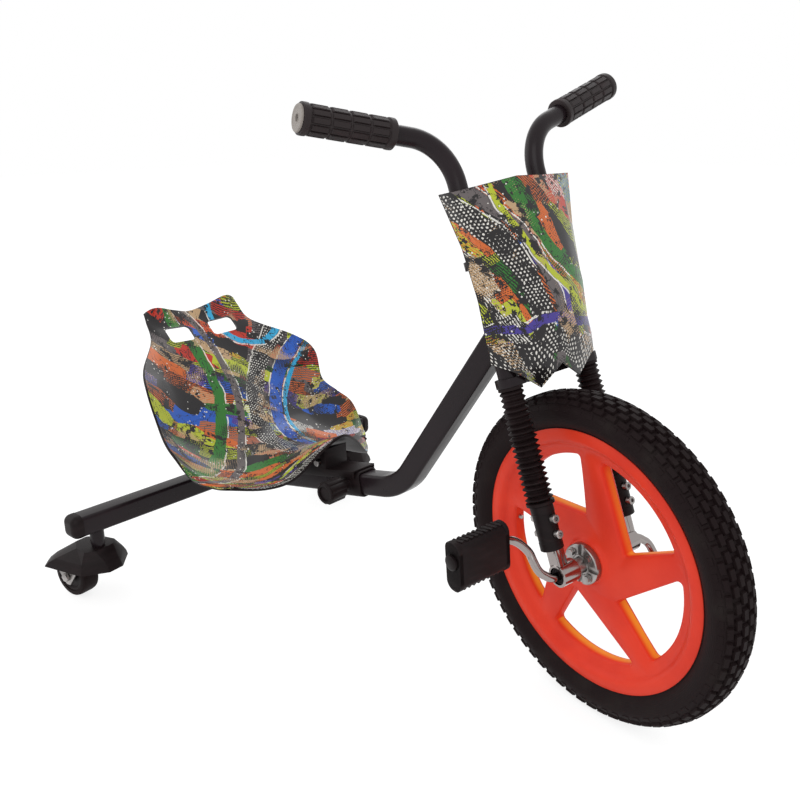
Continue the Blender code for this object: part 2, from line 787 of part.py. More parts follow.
def make_leg_sleeve(shop, side):
    bore = around(LEG_RADIUS, SEAT_GAP, ROUND)
    profile = ring(SLEEVE_RADIUS, bore, LEG_START, LEG_START + SLEEVE_LENGTH)
    sleeve = turned(profile, leg_axes(side), ROUND, True)
    for hole in leg_bolt_holes(shop, side, "sleeve_bolt_hole"):
        cut(sleeve, hole)
    shop.part(sleeve, "leg_sleeve_" + side_name(side), BLACK_PLASTIC)


def make_gaiter(shop, side):
    """A ribbed rubber gaiter, a little slimmer at its top: each rib is a crest and a root."""
    half_pitch = (GAITER_LENGTH - 2 * GAITER_CUFF) / (2 * GAITER_RIBS)
    end = GAITER_START + GAITER_LENGTH
    outer = [(GAITER_TOP_CREST, end)]
    for step in range(2 * GAITER_RIBS + 1):
        share = min(step / GAITER_RIBS, 1)
        crest = GAITER_TOP_CREST + (GAITER_CREST - GAITER_TOP_CREST) * share
        root = crest - GAITER_RIB * (1 + share) / 2
        outer.append((crest if step % 2 else root, end - GAITER_CUFF - step * half_pitch))
    outer.append((GAITER_CREST, GAITER_START))
    bore = around(LEG_RADIUS, SEAT_GAP, GRIP_SIDES)
    profile = outer + [(bore, GAITER_START), (bore, end)]
    shop.part(turned(profile, leg_axes(side), GRIP_SIDES, True), "gaiter_" + side_name(side), BLACK_RUBBER)


def make_leg_bolts(shop, side):
    """Bolts that pass fore and aft through the sleeve, the leg and the fork end."""
    seat = SLEEVE_RADIUS + SEAT_GAP
    head = seat + LEG_BOLT_HEAD_HEIGHT
    for number, place in enumerate(LEG_BOLT_PLACES):
        across = leg_axes(side) @ Matrix.Translation((0, 0, LEG_START + place))
        across = across @ Matrix.Rotation(radians(90), 4, "Y")
        profile = [(0, head), (LEG_BOLT_HEAD_RADIUS, head), (LEG_BOLT_HEAD_RADIUS, seat),
                   (LEG_BOLT_RADIUS, seat), (LEG_BOLT_RADIUS, -seat), (LEG_BOLT_HEAD_RADIUS, -seat),
                   (LEG_BOLT_HEAD_RADIUS, -head), (0, -head)]
        bolt = turned(profile, across, ROUND_HOLE)
        shop.part(bolt, "leg_bolt_" + side_name(side) + "_" + str(number + 1), ZINC)


def make_fork_end(shop, side):
    """A plug bolted into the leg, with a lug that reaches down to the bearing housing."""
    start = LEG_START + SEAT_GAP
    plug = bar(leg_bore(), start - FORK_END_DEPTH / 2, LEG_START + FORK_END_DEPTH, ROUND, leg_axes(side))
    low_y, high_y = sorted((-side * FORK_END_INWARD, side * (HOUSING_OUTER - LEG_Y)))
    lug = box((-FORK_END_WIDTH / 2, low_y, 0), (FORK_END_WIDTH / 2, high_y, LEG_START - SEAT_GAP),
              leg_axes(side))
    below = box((-HOUSING_RADIUS * 2, -SLEEVE_RADIUS * 2, -FORK_END_DEPTH), (HOUSING_RADIUS * 2,
                SLEEVE_RADIUS * 2, 0.002), leg_axes(side))
    housing = bar(HOUSING_RADIUS + SEAT_GAP, -LEG_Y * 2, LEG_Y * 2, ROUND, axle_axes())
    outside = box((-LEG_Y, side * (HOUSING_OUTER if side > 0 else LEG_Y * 2), -LEG_Y),
                  (LEG_Y, side * (LEG_Y * 2 if side > 0 else HOUSING_OUTER), LEG_START - SEAT_GAP),
                  fork_axes(0, FORK_OFFSET))
    name = side_name(side)
    cut(plug, shop.cutter(lug, "fork_end_lug_" + name), "UNION")
    cut(plug, shop.cutter(below, "fork_end_below_" + name))
    cut(plug, shop.cutter(housing, "fork_end_housing_" + name))
    cut(plug, shop.cutter(outside, "fork_end_outside_" + name))
    for hole in leg_bolt_holes(shop, side, "fork_end_bolt_hole"):
        cut(plug, hole)
    shop.part(plug, "fork_end_" + name, CHROME)


def make_bearing_housing(shop, side):
    place = axle_axes() @ Matrix.Diagonal((1, side, side, 1))
    inner = HOUSING_RADIUS - HOUSING_WALL
    profile = ring(HOUSING_RADIUS, inner, HOUSING_INNER, HOUSING_OUTER)
    shop.part(turned(profile, place, ROUND, True), "bearing_housing_" + side_name(side), CHROME)
    bore = around(AXLE_RADIUS, RUNNING_GAP, ROUND)
    profile = ring(inner - SEAT_GAP, bore, HOUSING_INNER + 0.0005, HOUSING_OUTER - 0.002)
    shop.part(turned(profile, place, ROUND, True), "axle_bush_" + side_name(side), BLACK_PLASTIC)


def make_grip(shop, side):
    reach = bar_reach(side).length
    start = reach - GRIP_LENGTH
    body = GRIP_LENGTH - 2 * GRIP_COLLAR_LENGTH
    band = body / GRIP_BANDS
    outer = [(GRIP_COLLAR_RADIUS - 0.001, reach), (GRIP_COLLAR_RADIUS, reach - 0.001),
             (GRIP_COLLAR_RADIUS, reach - GRIP_COLLAR_LENGTH)]
    for number in range(GRIP_BANDS):
        top = reach - GRIP_COLLAR_LENGTH - number * band
        outer.append((GRIP_RADIUS - GRIP_GROOVE_DEPTH, top - 0.0005))
        outer.append((GRIP_RADIUS, top - GRIP_GROOVE_LENGTH / 2))
        outer.append((GRIP_RADIUS, top - band + GRIP_GROOVE_LENGTH / 2))
    outer.append((GRIP_RADIUS - GRIP_GROOVE_DEPTH, start + GRIP_COLLAR_LENGTH + 0.0005))
    outer.append((GRIP_COLLAR_RADIUS, start + GRIP_COLLAR_LENGTH))
    outer.append((GRIP_COLLAR_RADIUS, start + 0.001))
    outer.append((GRIP_COLLAR_RADIUS - 0.001, start))
    bore = around(LEG_RADIUS, SEAT_GAP, GRIP_SIDES)
    profile = outer + [(bore, start), (bore, reach)]
    shop.part(turned(profile, bar_axes(side), GRIP_SIDES, True), "grip_" + side_name(side), BLACK_RUBBER)


def make_grip_plug(shop, side):
    """The disc in the grip's end, with a spigot in the tube and a blind hole."""
    start = bar_reach(side).length + SEAT_GAP
    top = start + PLUG_THICKNESS
    floor = top - PLUG_HOLE_DEPTH
    foot = start - PLUG_SPIGOT
    profile = [(0, floor), (PLUG_HOLE_RADIUS, floor), (PLUG_HOLE_RADIUS, top),
               (PLUG_RADIUS - EDGE, top), (PLUG_RADIUS, top - EDGE), (PLUG_RADIUS, start),
               (leg_bore(), start), (leg_bore(), foot), (0, foot)]
    shop.part(turned(profile, bar_axes(side), GRIP_SIDES), "grip_plug_" + side_name(side), GREY_PLASTIC)


def surface(grid, name):
    """An open surface of quads from rows of points, drawn from the middle plane to the left."""
    mesh = bpy.data.meshes.new(name)
    width = len(grid[0])
    points = [point for row in grid for point in row]
    faces = []
    for i in range(len(grid) - 1):
        for j in range(width - 1):
            first = i * width + j
            faces.append((first, first + width, first + width + 1, first + 1))
    mesh.from_pydata(points, [], faces)
    thing = mesh_object(mesh)
    step = thing.modifiers.new("other_side", "MIRROR")
    step.use_axis = (False, True, False)
    step.use_clip = True
    step.merge_threshold = 0.00001
    return thing


def thicken(thing, thickness):
    """Solid on the side that the surface's faces point to; the surface stays the back."""
    step = thing.modifiers.new("thickness", "SOLIDIFY")
    step.thickness = thickness
    step.offset = 1.0
    step.use_even_offset = True


def beyond_surface(thing, way, back, reach):
    """A closed volume from just behind an open surface to far in front of it."""
    solid = baked(thing)
    form = bmesh.new()
    form.from_mesh(solid.data)
    for vert in form.verts:
        vert.co -= way * back
    made = bmesh.ops.extrude_face_region(form, geom=form.faces[:])
    moved = [item for item in made["geom"] if isinstance(item, bmesh.types.BMVert)]
    bmesh.ops.translate(form, verts=moved, vec=way * reach)
    bmesh.ops.recalc_face_normals(form, faces=form.faces)
    form.to_mesh(solid.data)
    form.free()
    return solid


def fairing_grid():
    """Rows from the top down, each from the middle to the left edge."""
    return [
        [(-0.121, 0, 0.635), (-0.128, 0.050, 0.630), (-0.132, 0.075, 0.628), (-0.138, 0.097, 0.626)],
        [(-0.090, 0, 0.570), (-0.096, 0.046, 0.568), (-0.105, 0.066, 0.568), (-0.119, 0.084, 0.569)],
        [(-0.062, 0, 0.509), (-0.072, 0.042, 0.508), (-0.083, 0.063, 0.510), (-0.101, 0.079, 0.512)],
        [(-0.054, 0, 0.467), (-0.061, 0.036, 0.461), (-0.074, 0.062, 0.466), (-0.092, 0.078, 0.471)],
        [(-0.053, 0, 0.432), (-0.056, 0.030, 0.409), (-0.062, 0.059, 0.431), (-0.083, 0.079, 0.442)],
    ]


def make_fairing(shop):
    shell = surface(fairing_grid(), "fairing")
    thicken(shell, FAIRING_THICKNESS)
    shop.part(shell, "fairing", PRINT_FAIRING)


def make_fairing_bracket(shop):
    """A tongue on the upper crown whose front edge follows the back of the fairing."""
    start = CROWN_TOP + SEAT_GAP
    half = FAIRING_TONGUE_WIDTH / 2
    inner = STEERER_NUT_RADIUS + 0.001
    beyond = FAIRING_PAD_START * 2
    tongue = box((inner, -half, start), (beyond, half, start + FAIRING_TONGUE_THICKNESS), fork_axes())
    pad = box((FAIRING_PAD_START, -half, start - FAIRING_PAD_DOWN), (beyond, half, start + FAIRING_PAD_UP),
              fork_axes())
    front = beyond_surface(surface(fairing_grid(), "front"), Vector((1, 0, 0)), SEAT_GAP * 1.5, 0.2)
    cut(tongue, shop.cutter(pad, "bracket_pad"), "UNION")
    cut(tongue, shop.cutter(front, "bracket_front"))
    shop.part(tongue, "fairing_bracket", BLACK_PAINT)


def make_tyre(shop):
    """The casing and tread as one ring, open towards the rim."""
    half = TYRE_WIDTH / 2
    bead = RIM_HALF_WIDTH - RIM_FLANGE - SEAT_GAP * 4
    foot = RIM_WELL_RADIUS + TYRE_BEAD_LIFT
    widest = TYRE_RADIUS - TYRE_SIDE_DROP
    side = [(foot, bead - RIM_DRAFT), (RIM_RADIUS + EDGE, bead + EDGE),
            (RIM_RADIUS + TYRE_WALL, bead + TYRE_WALL), (widest, half), (TYRE_RADIUS - TYRE_SHOULDER, half - EDGE * 2),
            (TYRE_RADIUS - EDGE * 3, half - TYRE_SHOULDER), (TYRE_RADIUS, half / 3)]
    inside = [(foot, bead - RIM_DRAFT - TYRE_WALL), (widest, half - TYRE_WALL),
              (TYRE_RADIUS - TYRE_TREAD, half / 3)]
    outer = side + [(r, -w) for r, w in side[::-1]]
    hollow = [(r, -w) for r, w in inside] + inside[::-1]
    shop.part(turned(outer + hollow, axle_axes(), ROUND_FINE, True), "front_tyre", BLACK_RUBBER)


def window_outline(turn):
    """A window between two spokes: two straight sides and an arc just inside the rim's ring."""
    inner = (WINDOW_INNER_RADIUS, WINDOW_START)
    arc_steps = 4
    arc = [(WINDOW_OUTER_RADIUS + WINDOW_OVERCUT, WINDOW_START + (WINDOW_END - WINDOW_START) * i / arc_steps)
           for i in range(arc_steps + 1)]
    corners = [(r * cos(a + turn), r * sin(a + turn)) for r, a in [inner] + arc]
    radii = [WINDOW_TIP, WINDOW_CORNER] + [0] * (arc_steps - 1) + [WINDOW_CORNER]
    return rounded(corners, radii, 4)


def make_rim(shop):
    """The wheel's ring with the well that holds the tyre; the spokes stand inside it."""
    flange = RIM_FLANGE
    well = RIM_WELL_RADIUS
    outer = RIM_RADIUS
    half = [(outer, RIM_HALF_WIDTH), (outer, RIM_HALF_WIDTH - flange),
            (well, RIM_HALF_WIDTH - flange - RIM_DRAFT)]
    side = [(WINDOW_OUTER_RADIUS + RIM_SLOPE_END, RIM_HALF_WIDTH),
            (WINDOW_OUTER_RADIUS + RIM_SLOPE_START, WEB_HALF_WIDTH), (WINDOW_OUTER_RADIUS, WEB_HALF_WIDTH)]
    rim_side = half + [(r, -w) for r, w in half[::-1]]
    lower = [(r, -w) for r, w in side]
    profile = rim_side + lower + side[::-1]
    rim = turned(profile, axle_axes(), ROUND_FINE, True)
    hole = bar(VALVE_RADIUS + SEAT_GAP, WINDOW_OUTER_RADIUS - RIM_SLOPE_END, RIM_RADIUS, 12, valve_axes())
    cut(rim, shop.cutter(hole, "valve_hole"))
    shop.part(rim, "wheel_rim", RED_PLASTIC)


def make_spokes(shop):
    """The hub and its five flat spokes, with a window between each two of them."""
    tip = WINDOW_OUTER_RADIUS - around(0, SEAT_GAP, ROUND_FINE)
    side = [(tip, WEB_HALF_WIDTH), (HUB_RADIUS + HUB_SLOPE, WEB_HALF_WIDTH), (HUB_RADIUS, HUB_HALF_WIDTH),
            (around(AXLE_RADIUS, SEAT_GAP, ROUND_FINE), HUB_HALF_WIDTH)]
    wheel = turned([(r, -w) for r, w in side] + side[::-1], axle_axes(), ROUND_FINE, True)
    pocket = plate([window_outline(2 * pi * i / WINDOW_COUNT) for i in range(WINDOW_COUNT)],
                   RIM_HALF_WIDTH * 4, wheel_face_axes())
    cut(wheel, shop.cutter(pocket, "wheel_windows"))
    for number, place in enumerate(hub_stud_places()):
        hole = bar(stud_bore(), -TYRE_WIDTH, TYRE_WIDTH, ROUND_HOLE, axle_axes(place))
        cut(wheel, shop.cutter(hole, "wheel_stud_hole_" + str(number + 1)))
    shop.part(wheel, "wheel_spokes", RED_PLASTIC)


def wheel_face_axes():
    """Local X forward and local Y up at the axle, so angles run as seen from the right."""
    return axes_at(AXLE, Vector((1, 0, 0)), -LEFT)


def valve_axes():
    out = Vector((cos(VALVE_ANGLE), 0, sin(VALVE_ANGLE)))
    return axes_at(AXLE, LEFT, out)


def make_valve(shop):
    """The inner tube's valve stem, through the rim's well."""
    start = RIM_WELL_RADIUS + 0.004 - VALVE_LENGTH
    stem = bar(VALVE_RADIUS, start, start + VALVE_LENGTH, 12, valve_axes())
    shop.part(stem, "valve_stem", ZINC)


def stud_bore():
    return around(HUB_STUD_RADIUS, SEAT_GAP, ROUND_HOLE)


def hub_stud_places():
    places = []
    for number in range(HUB_STUD_COUNT):
        angle = pi / 4 + 2 * pi * number / HUB_STUD_COUNT
        places.append(AXLE + Vector((cos(angle), 0, sin(angle))) * HUB_STUD_CIRCLE)
    return places


def make_hub_flange(shop, side):
    """A steel disc with a neck to the bearing and a cross of shallow grooves.

    The right disc carries the studs that hold both discs to the wheel.
    """
    place = axle_axes() @ Matrix.Diagonal((1, side, side, 1))
    inner = HUB_HALF_WIDTH + SEAT_GAP
    face = inner + FLANGE_THICKNESS
    neck = HOUSING_INNER - RUNNING_GAP
    bore = around(AXLE_RADIUS, SEAT_GAP, ROUND)
    profile = [(FLANGE_NECK_RADIUS, neck), (FLANGE_NECK_RADIUS, face), (FLANGE_RADIUS, face),
               (FLANGE_RADIUS, inner), (bore, inner), (bore, neck)]
    flange = turned(profile, place, ROUND, True)
    name = side_name(side)
    reach = FLANGE_RADIUS * 2
    half = FLANGE_GROOVE_WIDTH / 2
    for turn in range(4):
        groove = box((FLANGE_NECK_RADIUS, -half, face - FLANGE_GROOVE_DEPTH), (reach, half, face + 0.002),
                     place @ Matrix.Rotation(pi / 2 * turn, 4, "Z"))
        cut(flange, shop.cutter(groove, "flange_groove_" + name + "_" + str(turn + 1)))
    for number, spot in enumerate(hub_stud_places()):
        label = name + "_" + str(number + 1)
        if side > 0:
            hole = bar(stud_bore(), 0, TYRE_WIDTH, ROUND_HOLE, axle_axes(spot))
            cut(flange, shop.cutter(hole, "flange_hole_" + label))
        else:
            cut(flange, shop.cutter(baked(hub_stud(spot)), "flange_stud_" + label), "UNION")
    shop.part(flange, "hub_flange_" + name, ZINC)


def hub_stud(place):
    """A stud through the hub, with a head on the right disc and a nut on the left one."""
    face = HUB_HALF_WIDTH + SEAT_GAP + FLANGE_THICKNESS
    nut = face + SEAT_GAP
    wide = HUB_NUT_RADIUS
    profile = [(0, nut + HUB_NUT_HEIGHT), (wide, nut + HUB_NUT_HEIGHT), (wide, nut),
               (HUB_STUD_RADIUS, nut), (HUB_STUD_RADIUS, -face + EDGE), (wide, -face + EDGE),
               (wide, -face - HUB_NUT_HEIGHT), (0, -face - HUB_NUT_HEIGHT)]
    return turned(profile, axle_axes(place), ROUND_HOLE)


def crank_way(side):
    """The right crank points up and back at rest, the left one opposite."""
    angle = CRANK_REST_ANGLE
    way = Vector((cos(angle), 0, sin(angle)))
    return way * -side


def pedal_centre(side):
    return AXLE + crank_way(side) * CRANK_LENGTH


def make_crank(shop):
    """One bent rod: the wheel's axle, both crank arms and both pedal spindles."""
    arms = []
    for side in (-1, 1):
        way = crank_way(side) * CRANK_LENGTH
        arms.append([AXLE + way * share + LEFT * (side * out) for share, out in CRANK_SLOPE])
    right = smooth_path(arms[0], 2)
    left = smooth_path(arms[1], 2)
    end = PEDAL_INNER + PEDAL_LENGTH + SPINDLE_END
    tip_right = pedal_centre(-1) - LEFT * end
    tip_left = pedal_centre(1) + LEFT * end
    rod = tube([tip_right] + right[::-1] + left + [tip_left], AXLE_RADIUS)
    shop.part(rod, "crank_rod", CHROME)


def make_pedal(shop, side):
    """A plastic block on the spindle, hanging a little below it, closed by a push-on cap."""
    name = side_name(side)
    turn = PEDAL_LEFT_TURN if side > 0 else 0.0
    place = axle_axes(pedal_centre(side)) @ Matrix.Diagonal((1, side, side, 1)) @ Matrix.Rotation(turn, 4, "Z")
    half_height = PEDAL_HEIGHT / 2
    drop = PEDAL_DROP * side
    block = box((-PEDAL_THICKNESS / 2, drop - half_height, PEDAL_INNER),
                (PEDAL_THICKNESS / 2, drop + half_height, PEDAL_INNER + PEDAL_LENGTH), place)
    round_edges(block, PEDAL_EDGE)
    bore_radius = around(AXLE_RADIUS, RUNNING_GAP, ROUND_SMALL)
    bore = bar(bore_radius, 0, PEDAL_INNER + PEDAL_LENGTH * 2, ROUND_SMALL, place)
    cut(block, shop.cutter(bore, "pedal_bore_" + name))
    shop.part(block, "pedal_" + name, BLACK_PLASTIC)
    start = PEDAL_INNER + PEDAL_LENGTH + RUNNING_GAP
    floor = PEDAL_INNER + PEDAL_LENGTH + SPINDLE_END + RUNNING_GAP
    top = start + PEDAL_CAP_THICKNESS
    profile = [(0, top), (PEDAL_CAP_RADIUS - EDGE, top), (PEDAL_CAP_RADIUS, top - EDGE),
               (PEDAL_CAP_RADIUS, start), (bore_radius, start), (bore_radius, floor), (0, floor)]
    shop.part(turned(profile, place, ROUND_SMALL), "pedal_cap_" + name, BLACK_PLASTIC)


def seat_grid():
    """Rows from the top edge down the back, over the pan to its front edge.

    Each row runs from the middle to the left edge.
    """
    return [
        [(-0.791, 0, 0.393), (-0.786, 0.035, 0.402), (-0.782, 0.066, 0.412), (-0.789, 0.082, 0.409),
         (-0.795, 0.088, 0.403)],
        [(-0.777, 0, 0.380), (-0.776, 0.035, 0.381), (-0.774, 0.066, 0.384), (-0.775, 0.083, 0.388),
         (-0.777, 0.091, 0.392)],
        [(-0.752, 0, 0.356), (-0.750, 0.036, 0.357), (-0.749, 0.068, 0.359), (-0.751, 0.088, 0.363),
         (-0.754, 0.100, 0.366)],
        [(-0.720, 0, 0.324), (-0.720, 0.050, 0.321), (-0.716, 0.095, 0.323), (-0.709, 0.128, 0.331),
         (-0.703, 0.150, 0.339)],
        [(-0.686, 0, 0.292), (-0.688, 0.055, 0.286), (-0.686, 0.107, 0.286), (-0.676, 0.143, 0.302),
         (-0.669, 0.169, 0.314)],
        [(-0.651, 0, 0.258), (-0.655, 0.056, 0.251), (-0.657, 0.108, 0.246), (-0.655, 0.145, 0.254),
         (-0.651, 0.168, 0.266)],
        [(-0.614, 0, 0.221), (-0.617, 0.056, 0.215), (-0.622, 0.110, 0.213), (-0.626, 0.150, 0.227),
         (-0.621, 0.177, 0.245)],
        [(-0.572, 0, 0.209), (-0.572, 0.050, 0.201), (-0.574, 0.100, 0.192), (-0.582, 0.145, 0.202),
         (-0.592, 0.181, 0.230)],
        [(-0.520, 0, 0.214), (-0.520, 0.045, 0.202), (-0.520, 0.090, 0.188), (-0.535, 0.135, 0.191),
         (-0.566, 0.172, 0.201)],
        [(-0.465, 0, 0.236), (-0.468, 0.038, 0.220), (-0.478, 0.078, 0.194), (-0.502, 0.118, 0.188),
         (-0.538, 0.155, 0.190)],
        [(-0.429, 0, 0.252), (-0.437, 0.034, 0.235), (-0.455, 0.074, 0.200), (-0.482, 0.106, 0.188),
         (-0.520, 0.140, 0.188)],
    ]


def seat_surface(levels):
    thing = surface(seat_grid(), "seat")
    step = thing.modifiers.new("smoothing", "SUBSURF")
    step.levels = levels
    step.render_levels = levels
    step.boundary_smooth = "ALL"
    return thing


def back_axes():
    """Local Z square to the backrest at its hand slots, local X to the left."""
    grid = seat_grid()
    upper = Vector(grid[1][0])
    lower = Vector(grid[2][0])
    down = (lower - upper).normalized()
    share = (upper.z - SLOT_Z) / (upper.z - lower.z)
    middle = upper + (lower - upper) * share
    return axes_at(middle, LEFT, down.cross(LEFT))


def make_seat_shell(shop):
    shell = seat_surface(SEAT_SMOOTHING)
    thicken(shell, SEAT_THICKNESS)
    for side in (-1, 1):
        across = SLOT_SIZE[0] / 2
        along = SLOT_SIZE[1] / 2
        outline = square(across, along, SLOT_CORNER)
        place = back_axes() @ Matrix.Translation((side * SLOT_Y, 0, 0))
        slot = plate([outline], 0.060, place)
        cut(shell, shop.cutter(slot, "hand_slot_" + side_name(side)))
    shop.part(shell, "seat_shell", PRINT_SEAT)


def slider_axes():
    """Local X forward along the beam, local Z square to it, at the slider's middle."""
    place = Vector((SLIDER_X, 0, beam_height(SLIDER_X)))
    return axes_at(place, BEAM_WAY, BEAM_UP)


def make_slider(shop):
    """The sleeve that slides on the beam, with a threaded boss for the knob's screw."""
    inner = BEAM_SIZE / 2 + SLIDE_GAP
    outer = slider_outer()
    outlines = [square(outer, outer, BEAM_CORNER + SLIDER_WALL), square(inner, inner, BEAM_CORNER)]
    along = slider_axes() @ Matrix.Rotation(radians(90), 4, "Y")
    sleeve = plate(outlines, SLIDER_LENGTH, along)
    overlap = 0.001
    right = slider_axes() @ Matrix.Rotation(radians(90), 4, "X")
    boss = bar(BOSS_RADIUS, outer - overlap, outer + BOSS_LENGTH, ROUND_SMALL, right)
    hole = bar(KNOB_SCREW_RADIUS + SEAT_GAP, inner - 0.002, outer + BOSS_LENGTH * 2, ROUND_SMALL, right)
    cut(sleeve, shop.cutter(boss, "slider_boss"), "UNION")
    cut(sleeve, shop.cutter(hole, "slider_screw_hole"))
    shop.part(sleeve, "seat_slider", BLACK_PLASTIC)


def make_clamp_knob(shop):
    """A fluted knob with the screw that presses on the beam's side."""
    right = slider_axes() @ Matrix.Rotation(radians(90), 4, "X")
    start = slider_outer() + BOSS_LENGTH + 0.002
    outline = []
    for number in range(KNOB_FLUTES * 4):
        radius = KNOB_RADIUS - (KNOB_FLUTE_DEPTH if number % 4 in (0, 1) else 0)
        angle = 2 * pi * number / (KNOB_FLUTES * 4)
        outline.append((radius * cos(angle), radius * sin(angle)))
    knob = plate([outline], KNOB_LENGTH, right @ Matrix.Translation((0, 0, start + KNOB_LENGTH / 2)))
    screw = bar(KNOB_SCREW_RADIUS, BEAM_SIZE / 2 + SEAT_GAP, start + 0.002, ROUND_SMALL, right)
    dish = bar(KNOB_RADIUS * 0.62, start + KNOB_LENGTH - 0.005, start + KNOB_LENGTH * 2, ROUND, right)
    cut(knob, shop.cutter(screw, "knob_screw"), "UNION")
    cut(knob, shop.cutter(dish, "knob_dish"))
    shop.part(knob, "clamp_knob", BLACK_PLASTIC)


def bracket_outline():
    """Side view of the seat bracket as (x, z): tall under the pan, low over the slider."""
    lift = (slider_outer() + SEAT_GAP) / cos(BEAM_SLOPE)
    cap = lift + BRACKET_WALL
    rear = BRACKET_REAR_X
    front = BRACKET_FRONT_X
    step = BRACKET_STEP_X
    return [(rear, beam_height(rear) + BRACKET_LIFT), (front, beam_height(front) + BRACKET_LIFT),
            (front, beam_height(front) + cap), (step, beam_height(step) + cap)] + pan_underside(rear, step)


def pan_underside(rear, front):
    """Points of (x, z) just under the pan along the bracket's sides, from front to rear."""
    pan = baked(seat_surface(SEAT_SMOOTHING))
    form = bmesh.new()
    form.from_mesh(pan.data)
    tree = BVHTree.FromBMesh(form)
    form.free()
    bpy.data.objects.remove(pan, do_unlink=True)
    edge = slider_outer() + SEAT_GAP + BRACKET_WALL
    line = []
    for step in range(BRACKET_TOP_STEPS + 1):
        x = front + (rear - front) * step / BRACKET_TOP_STEPS
        heights = []
        for y in (0.0001, edge / 2, edge):
            place, normal, face, distance = tree.ray_cast(Vector((x, y, 0)), Vector((0, 0, 1)))
            heights.append(place.z)
        line.append((x, min(heights) - 2 * SEAT_GAP))
    return line


def bracket_hollow_outline():
    """Side view of the room inside the bracket's tall part."""
    rear = BRACKET_REAR_X + BRACKET_WALL
    step = BRACKET_STEP_X - BRACKET_WALL
    return [(rear, beam_height(rear)), (step, beam_height(step)),
            (step, beam_height(step) + BRACKET_ROOM_FRONT), (rear, beam_height(rear) + BRACKET_ROOM_REAR)]


def slider_outer():
    """Half the slider sleeve's outer width."""
    return BEAM_SIZE / 2 + SLIDE_GAP + SLIDER_WALL


def make_seat_bracket(shop):
    """An inverted channel that straddles the slider and rises to the pan's underside."""
    inner = slider_outer() + SEAT_GAP
    width = 2 * (inner + BRACKET_WALL)
    bracket = plate([bracket_outline()], width, side_axes())
    hollow = plate([bracket_hollow_outline()], 2 * inner, side_axes())
    channel = box((BRACKET_REAR_X - 0.1, -inner, -0.06), (0.1, inner, inner), channel_axes())
    cut(bracket, shop.cutter(hollow, "bracket_hollow"))
    cut(bracket, shop.cutter(channel, "bracket_channel"))
    hole = bar(around(BRACKET_BOLT_RADIUS, SEAT_GAP, ROUND_HOLE), -inner * 3, inner * 3, ROUND_HOLE,
               bracket_bolt_axes())
    cut(bracket, shop.cutter(hole, "bracket_bolt_hole"))
    shop.part(bracket, "seat_bracket", BLACK_PLASTIC)


def channel_axes():
    """Local X along the beam from its rear end, local Z square to it."""
    return axes_at(Vector((0, 0, beam_height(0))), BEAM_WAY, BEAM_UP)


def bracket_bolt_axes():
    x = BRACKET_STEP_X - BRACKET_BOLT_BACK
    place = Vector((x, 0, beam_height(x) + BRACKET_BOLT_LIFT))
    return axes_at(place, Vector((1, 0, 0)), LEFT)


def make_bracket_bolt(shop):
    seat = slider_outer() + BRACKET_WALL + 2 * SEAT_GAP
    head = seat + LEG_BOLT_HEAD_HEIGHT
    wide = LEG_BOLT_HEAD_RADIUS
    profile = [(0, head), (wide, head), (wide, seat), (BRACKET_BOLT_RADIUS, seat),
               (BRACKET_BOLT_RADIUS, -seat), (wide, -seat), (wide, -head), (0, -head)]
    shop.part(turned(profile, bracket_bolt_axes(), ROUND_HOLE), "seat_bracket_bolt", ZINC)


def stem_top():
    return REAR_Z - BEAM_SIZE / 2 - SEAT_GAP


def cover_top():
    return stem_top() - STEM_COLLAR - RUNNING_GAP


def make_caster_stem(shop, side):
    """A collar under the cross tube, its pin through the tube's wall and the swivel pin."""
    top = stem_top()
    collar = top - STEM_COLLAR
    plate_low = cover_top() - COVER_WALL - SEAT_GAP - YOKE_PLATE
    head = plate_low - RUNNING_GAP
    profile = [(0, top + STEM_DEPTH), (STEM_PIN_RADIUS, top + STEM_DEPTH), (STEM_PIN_RADIUS, top),
               (STEM_RADIUS, top), (STEM_RADIUS, collar), (STEM_PIN_RADIUS, collar),
               (STEM_PIN_RADIUS, head), (STEM_HEAD_RADIUS, head),
               (STEM_HEAD_RADIUS, head - STEM_HEAD_HEIGHT), (0, head - STEM_HEAD_HEIGHT)]
    place = Matrix.Translation((REAR_X, side * CASTER_Y, 0))
    shop.part(turned(profile, place, GRIP_SIDES), "caster_stem_" + side_name(side), BLACK_PAINT)


def cover_rings():
    """The cover's rings from its flat top down to its mouth.

    Each has its depth below the top and the corners of its left half, from front to rear.
    """
    return [
        (0.000, [(0.014, 0.016), (0.004, 0.028), (-0.020, 0.024), (-0.040, 0.010)]),
        (0.015, [(0.027, 0.012), (0.008, 0.038), (-0.046, 0.044), (-0.063, 0.028)]),
        (0.023, [(0.032, 0.012), (0.010, 0.042), (-0.058, 0.050), (-0.072, 0.033)]),
        (COVER_HOLLOW, [(0.036, 0.012), (0.010, 0.044), (-0.064, 0.052), (-0.078, 0.034)]),
    ]


